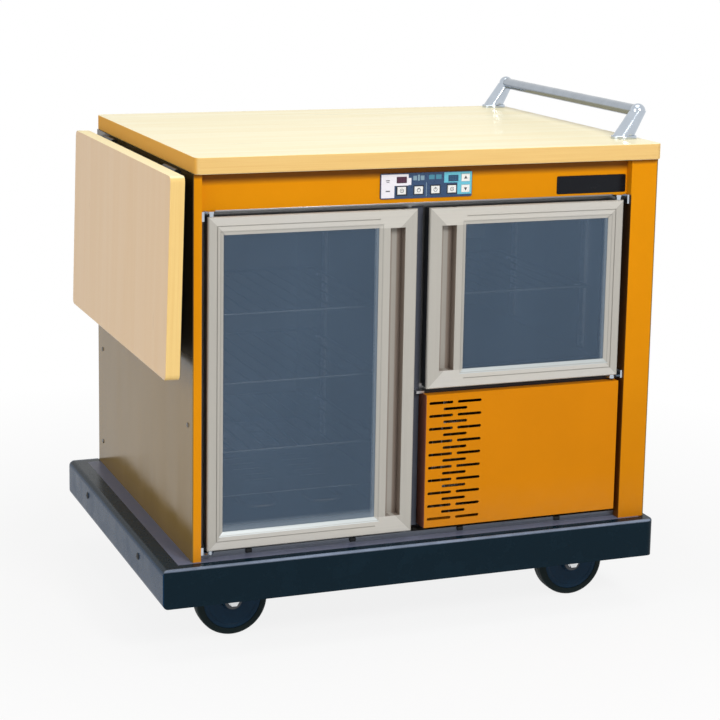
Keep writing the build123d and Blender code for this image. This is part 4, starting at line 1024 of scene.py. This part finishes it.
class CART_OT_wheels(Operator):
    """Builds the four wheels, each a grooved tyre on a moulded core"""

    bl_idname = "cart.wheels"
    bl_label = "Wheels"

    def execute(self, context):
        for corner in CORNERS:
            low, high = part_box("wheel_" + corner)
            centre, size = (low + high) / 2, high - low
            rubber = ringed_rubber(
                "tread_" + corner, hue("tyre"), centre, rough=0.55, pitch=0.0011, depth=0.00005
            )
            hard = ringed_rubber(
                "core_" + corner, hue("core"), centre, rough=0.42, pitch=0.0023, depth=0.00004
            )
            self.ring("tyre_", corner, self.tread(size.z / 2), centre, TREAD_STEPS, rubber)
            self.ring("core_", corner, self.core(size.z / 2, size.y / 2), centre, CORE_STEPS, hard)
        return {"FINISHED"}

    def ring(self, kind, corner, side, centre, steps, material):
        """Spins half a profile and its mirror image into a piece that replaces the CAD wheel."""
        bm = bmesh.new()
        turned(bm, side + [(r, -h) for r, h in reversed(side)], centre, BACK, steps)
        made = piece_from(bm, kind + corner, corner + "_wheel", material)
        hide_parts("wheel_" + corner)

    def tread(self, reach):
        """Half a tyre's profile, from the core round the shoulder and over a groove to the middle."""
        groove = reach - sizes().tread_groove
        edge = -WHEEL_HALF
        return [
            (reach - 0.0142, edge + 0.0004), (reach - 0.0065, edge), (reach - 0.0035, edge + 0.0008),
            (reach - 0.0014, edge + 0.0028), (reach - 0.0004, edge + 0.0062), (reach - 0.0001, -0.0084),
            (groove, -0.0080), (groove, -0.0066), (reach, -0.0062),
        ]

    def core(self, reach, boss):
        """Half a core's profile, from the bore over the boss, the web and the rim to the tyre."""
        edge = -WHEEL_HALF
        return [
            (AXLE_BORE, -boss), (0.0185, -boss), (0.0200, -boss + 0.0012), (0.0212, edge + 0.0035),
            (0.0240, edge + 0.0026), (0.0510, edge + 0.0022), (0.0525, edge + 0.0012),
            (0.0560, edge + 0.0008), (0.0596, edge + 0.0010), (reach - 0.0141, edge + 0.0018),
        ]


class CART_OT_handle(Operator):
    """Plates the push handle"""

    bl_idname = "cart.handle"
    bl_label = "Push handle"

    def execute(self, context):
        chrome = hue("chrome")
        low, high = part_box("handle_bar")
        middle = (low.z + high.z) / 2
        # Painted shade on the underside of the bar, and a darker copy of the chrome for the bar than for the
        # posts
        under = tone(TINTS["bar_under_shade"], 0.75, (Z, middle + 0.0015, middle - 0.0025))
        coat(polished("handle_plate", chrome, rough=0.13), "handle_posts")
        coat(polished("bar_plate", scaled(chrome, 0.74), rough=0.16, tones=[under]), "handle_bar")
        return {"FINISHED"}


class CART_OT_controls(Operator):
    """Prints the fascia, sets the display lenses in it and marks the keys"""

    bl_idname = "cart.controls"
    bl_label = "Controls"

    def execute(self, context):
        coat(printed_film("printed_film", hue("film")), "control_fascia")
        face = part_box("control_fascia")[0].y
        for zone, middle in LENS_MIDDLES.items():
            near, far = fascia_spot(middle - LENS_HALF, LENS_TOP, middle + LENS_HALF, LENS_FOOT)
            lens = smoked_lens(zone + "_lens", hue(zone + "_lens"), near, far)
            near = (near[0], face + LENS_SUNK, near[1])
            far = (far[0], face + LENS_BACK, far[1])
            bm = bmesh.new()
            plate(bm, near, far, LENS_CORNER, LENS_ROUND, segments=3)
            piece_from(bm, zone + "_display", "cabinet", lens)

        cap = key_cap("key_cap", hue("key"))
        ink = moulded("key_ink", TINTS["key_ink"], rough=0.5, pebble=900.0, depth=0.00003)
        for key in ("hot_set", "hot_power", "cold_power", "cold_set", "down", "up"):
            coat(cap, key + "_key")
            low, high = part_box(key + "_key")
            bm = bmesh.new()
            self.mark(bm, key, Vector(((low.x + high.x) / 2, low.y, (low.z + high.z) / 2)))
            piece_from(bm, key + "_mark", key + "_key_body", ink)
        return {"FINISHED"}

    def mark(self, bm, key, middle):
        """A plain sign on a key: a triangle, a ring with a bar, or a ring with a dot."""
        thick = KEY_MARK_THICK
        if key in ("down", "up"):
            triangle = disc(bm, KEY_MARK, 3)
            turn = math.radians(180 if key == "down" else 0)
            bmesh.ops.rotate(bm, verts=triangle.verts, matrix=Matrix.Rotation(turn, 3, "Z"))
            thicken(bm, [triangle], (0, 0, thick))
        else:
            inner = KEY_MARK - KEY_RING_WIDTH
            ring = [(inner, 0.0), (KEY_MARK, 0.0), (KEY_MARK, thick), (inner, thick)]
            turned(bm, ring, (0, 0, 0), (0, 0, 1), RING_STEPS)
            if key.endswith("power"):
                box_edges(bm, (-KEY_BAR_HALF, KEY_BAR_FOOT, 0.0), (KEY_BAR_HALF, KEY_BAR_TOP, thick))
            else:
                dot = [(0.0, 0.0), (KEY_DOT, 0.0), (KEY_DOT, thick), (0.0, thick)]
                turned(bm, dot, (0, 0, 0), (0, 0, 1), DOT_STEPS, closed=False)
        upright = Matrix.Translation(middle) @ Matrix.Rotation(math.radians(90), 4, "X")
        bmesh.ops.transform(bm, matrix=upright, verts=bm.verts)


class CART_OT_blank_plate(Operator):
    """Sets a bare black plate at the right end of the header"""

    bl_idname = "cart.blank_plate"
    bl_label = "Blank plate"

    def execute(self, context):
        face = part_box("sill_rail")[0].y
        x, z = BLANK_MIDDLE
        left, right = x - sizes().blank_length / 2, x + sizes().blank_length / 2
        foot, top = z - sizes().blank_height / 2, z + sizes().blank_height / 2
        black = moulded("plate_black", hue("blank"), rough=0.24, pebble=700.0, depth=0.00003, specular=0.15)
        near, far = (left, face - BLANK_PROUD, foot), (right, face + BLANK_SINK, top)
        bm = bmesh.new()
        plate(bm, near, far, BLANK_CORNER, BLANK_ROUND)
        piece_from(bm, "blank_plate", "cabinet", black)
        near = (left + BLANK_LINE_INSET, face - BLANK_LINE_PROUD, foot + BLANK_LINE_INSET)
        far = (right - BLANK_LINE_INSET, face - BLANK_LINE_BACK, top - BLANK_LINE_INSET)
        bm = bmesh.new()
        front_ring(bm, near, far, BLANK_LINE_WIDTH, BLANK_LINE_ROUND)
        line = brushed("plate_line", TINTS["plate_line"], X, rough=0.34)
        piece_from(bm, "blank_plate_line", "cabinet", line)
        return {"FINISHED"}


class CART_OT_fasteners(Operator):
    """Adds the screws, bolts and rubber stops"""

    bl_idname = "cart.fasteners"
    bl_label = "Fasteners"

    def execute(self, context):
        dark = polished("screw_dark", TINTS["screw_dark"], rough=0.3)
        rubber = moulded("stop_rubber", hue("seal"), rough=0.5)
        head = sizes().panel_screw
        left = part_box("side_panel_left")[0].x
        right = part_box("side_panel_right")[1].x
        for end, x, outward in (("left", left, LEFT), ("right", right, RIGHT)):
            spots = [(x, y, z) for y, z in SIDE_SCREWS]
            self.screws("side_screws_" + end, spots, outward, head, SCREW_RISE, "side_sheet", dark)

        low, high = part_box("back_panel")
        sides = (low.x + BACK_SCREW_INSET, high.x - BACK_SCREW_INSET)
        spots = [(x, high.y, z) for z in BACK_SCREW_ROWS for x in sides]
        outer_rows = (BACK_SCREW_ROWS[0], BACK_SCREW_ROWS[-1])
        spots += [(x, high.y, z) for x in BACK_SCREW_COLUMNS for z in outer_rows]
        self.screws("back_screws", spots, BACK, head, SCREW_RISE, "side_sheet", dark)

        spots = [(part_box("bumper_left")[0].x, y, z) for y, z in RAIL_BOLTS]
        self.screws("rail_bolts", spots, LEFT, sizes().rail_bolt, RAIL_BOLT_RISE, "machine_black", rubber)
        self.stops(rubber)
        self.caster_bolts(polished("screw_bright", TINTS["screw_bright"], rough=0.24))
        return {"FINISHED"}

    def screws(self, name, spots, outward, radius, rise, slot, material):
        bm = bmesh.new()
        for spot in spots:
            cross_screw(bm, spot, outward, radius, rise)
        piece_from(bm, name, "cabinet", material)

    def stops(self, rubber):
        low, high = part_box("sill_rail")
        half = sizes().stop_length / 2
        bm = bmesh.new()
        for x in SILL_STOPS:
            near = (x - half, low.y - STOP_PROUD, high.z - STOP_HEIGHT)
            block(bm, near, (x + half, low.y + STOP_SINK, high.z + STOP_SINK), STOP_ROUND, 3)
        piece_from(bm, "sill_stops", "cabinet", rubber)

    def caster_bolts(self, steel):
        low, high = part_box("wheel_front_left")
        swivel_x, swivel_y, _ = joint_place("swivel_front_turn")
        plates = [(x, y) for x in ((low.x + high.x) / 2, swivel_x) for y in (swivel_y, -swivel_y)]
        bm = bmesh.new()
        for x, y in plates:
            for aside, along in CASTER_BOLTS:
                place = (x + aside, y + along, CASTER_PLATE_UNDER)
                hex_bolt(bm, place, DOWN, sizes().caster_bolt, CASTER_BOLT_RISE, CASTER_WASHER)
        piece_from(bm, "caster_bolts", "cabinet", steel)


class CART_OT_stage(Operator):
    """Sets the pale floor, the soft lamps, the white surround and the camera"""

    bl_idname = "cart.stage"
    bl_label = "Stage"

    def execute(self, context):
        self.floor()
        self.surround()
        for lamp in LAMPS:
            self.lamp(*lamp)
        self.camera()
        bpy.context.scene.view_settings.view_transform = "Standard"
        return {"FINISHED"}

    def camera(self):
        data = bpy.data.cameras.new("camera")
        data.sensor_width = CAMERA_SENSOR
        data.lens = CAMERA_LENS
        data.shift_y = CAMERA_SHIFT
        data.clip_end = CAMERA_REACH
        camera = bpy.data.objects.new("camera", data)
        camera.location = CAMERA_PLACE
        camera.rotation_euler = tuple(math.radians(angle) for angle in CAMERA_TURN)
        bpy.context.scene.collection.objects.link(camera)
        bpy.context.scene.camera = camera

    def shown_white(self, tree):
        """1 for rays from the camera, from gloss and through glass, and 0 for light on surfaces."""
        path = tree.nodes.new("ShaderNodeLightPath")
        total = path.outputs["Is Camera Ray"]
        for name in ("Is Glossy Ray", "Is Transmission Ray"):
            either = tree.nodes.new("ShaderNodeMath")
            either.operation = "MAXIMUM"
            tree.links.new(total, either.inputs[0])
            tree.links.new(path.outputs[name], either.inputs[1])
            total = either.outputs[0]
        return total

    def floor(self):
        bm = bmesh.new()
        disc(bm, FLOOR_RADIUS, FLOOR_STEPS)
        mesh = bpy.data.meshes.new("floor")
        bm.to_mesh(mesh)
        bm.free()
        floor = bpy.data.objects.new("floor", mesh)
        bpy.context.scene.collection.objects.link(floor)
        finish = Finish("pale_floor", colour=TINTS["floor"], rough=0.9, specular=0.1)
        white = finish.node("Emission", {"Color": (1, 1, 1), "Strength": 1.0}).outputs["Emission"]
        veil = finish.spread(finish.radius((0, 0, 0), Z), 0.86, 1.0, 0.8, 1.9)
        share = finish.reckon("MULTIPLY", veil, self.shown_white(finish.tree))
        mix = finish.node("MixShader", {0: share, 1: finish.shader.outputs["BSDF"], 2: white})
        finish.feed(finish.output.inputs["Surface"], mix.outputs[0])
        mesh.materials.append(finish.material)

    def surround(self):
        world = bpy.data.worlds.new("white_surround")
        bpy.context.scene.world = world
        world.use_nodes = True
        tree = world.node_tree
        ground = tree.nodes["Background"]
        ground.inputs["Color"].default_value = (1, 1, 1, 1)
        level = tree.nodes.new("ShaderNodeMapRange")
        tree.links.new(self.shown_white(tree), level.inputs["Value"])
        level.inputs["To Min"].default_value = SURROUND_LIGHT
        level.inputs["To Max"].default_value = 1.0
        tree.links.new(level.outputs["Result"], ground.inputs["Strength"])

    def lamp(self, name, place, size, power):
        data = bpy.data.lights.new(name, "AREA")
        data.shape = "DISK"
        data.size = size
        data.energy = power
        lamp = bpy.data.objects.new(name, data)
        lamp.location = place
        lamp.visible_camera = False
        lamp.rotation_euler = (LAMP_AIM - Vector(place)).to_track_quat("-Z", "Y").to_euler()
        bpy.context.scene.collection.objects.link(lamp)


STEPS = (
    CART_OT_cabinet, CART_OT_boards, CART_OT_doors, CART_OT_inside, CART_OT_base, CART_OT_wheels,
    CART_OT_handle, CART_OT_controls, CART_OT_blank_plate, CART_OT_fasteners, CART_OT_stage,
)


class CART_PT_build(Panel):
    """Lists the steps that dress the cart"""

    bl_idname = "CART_PT_build"
    bl_label = "Serving cart"
    bl_space_type = "VIEW_3D"
    bl_region_type = "UI"
    bl_category = "Cart"

    def draw(self, context):
        for step in STEPS:
            self.layout.operator(step.bl_idname)
        for group in (context.scene.cart_colours, context.scene.cart_sizes):
            box = self.layout.box()
            for name in group.__annotations__:
                box.prop(group, name)


CLASSES = (CartColours, CartSizes, *STEPS, CART_PT_build)


def register():
    for kind in CLASSES:
        bpy.utils.register_class(kind)
    bpy.types.Scene.cart_colours = PointerProperty(type=CartColours)
    bpy.types.Scene.cart_sizes = PointerProperty(type=CartSizes)


def unregister():
    del bpy.types.Scene.cart_sizes
    del bpy.types.Scene.cart_colours
    for kind in reversed(CLASSES):
        bpy.utils.unregister_class(kind)


def main():
    register()
    bpy.ops.cart.cabinet()
    bpy.ops.cart.boards()
    bpy.ops.cart.doors()
    bpy.ops.cart.inside()
    bpy.ops.cart.base()
    bpy.ops.cart.wheels()
    bpy.ops.cart.handle()
    bpy.ops.cart.controls()
    bpy.ops.cart.blank_plate()
    bpy.ops.cart.fasteners()
    bpy.ops.cart.stage()


if __name__ == "__main__":
    main()
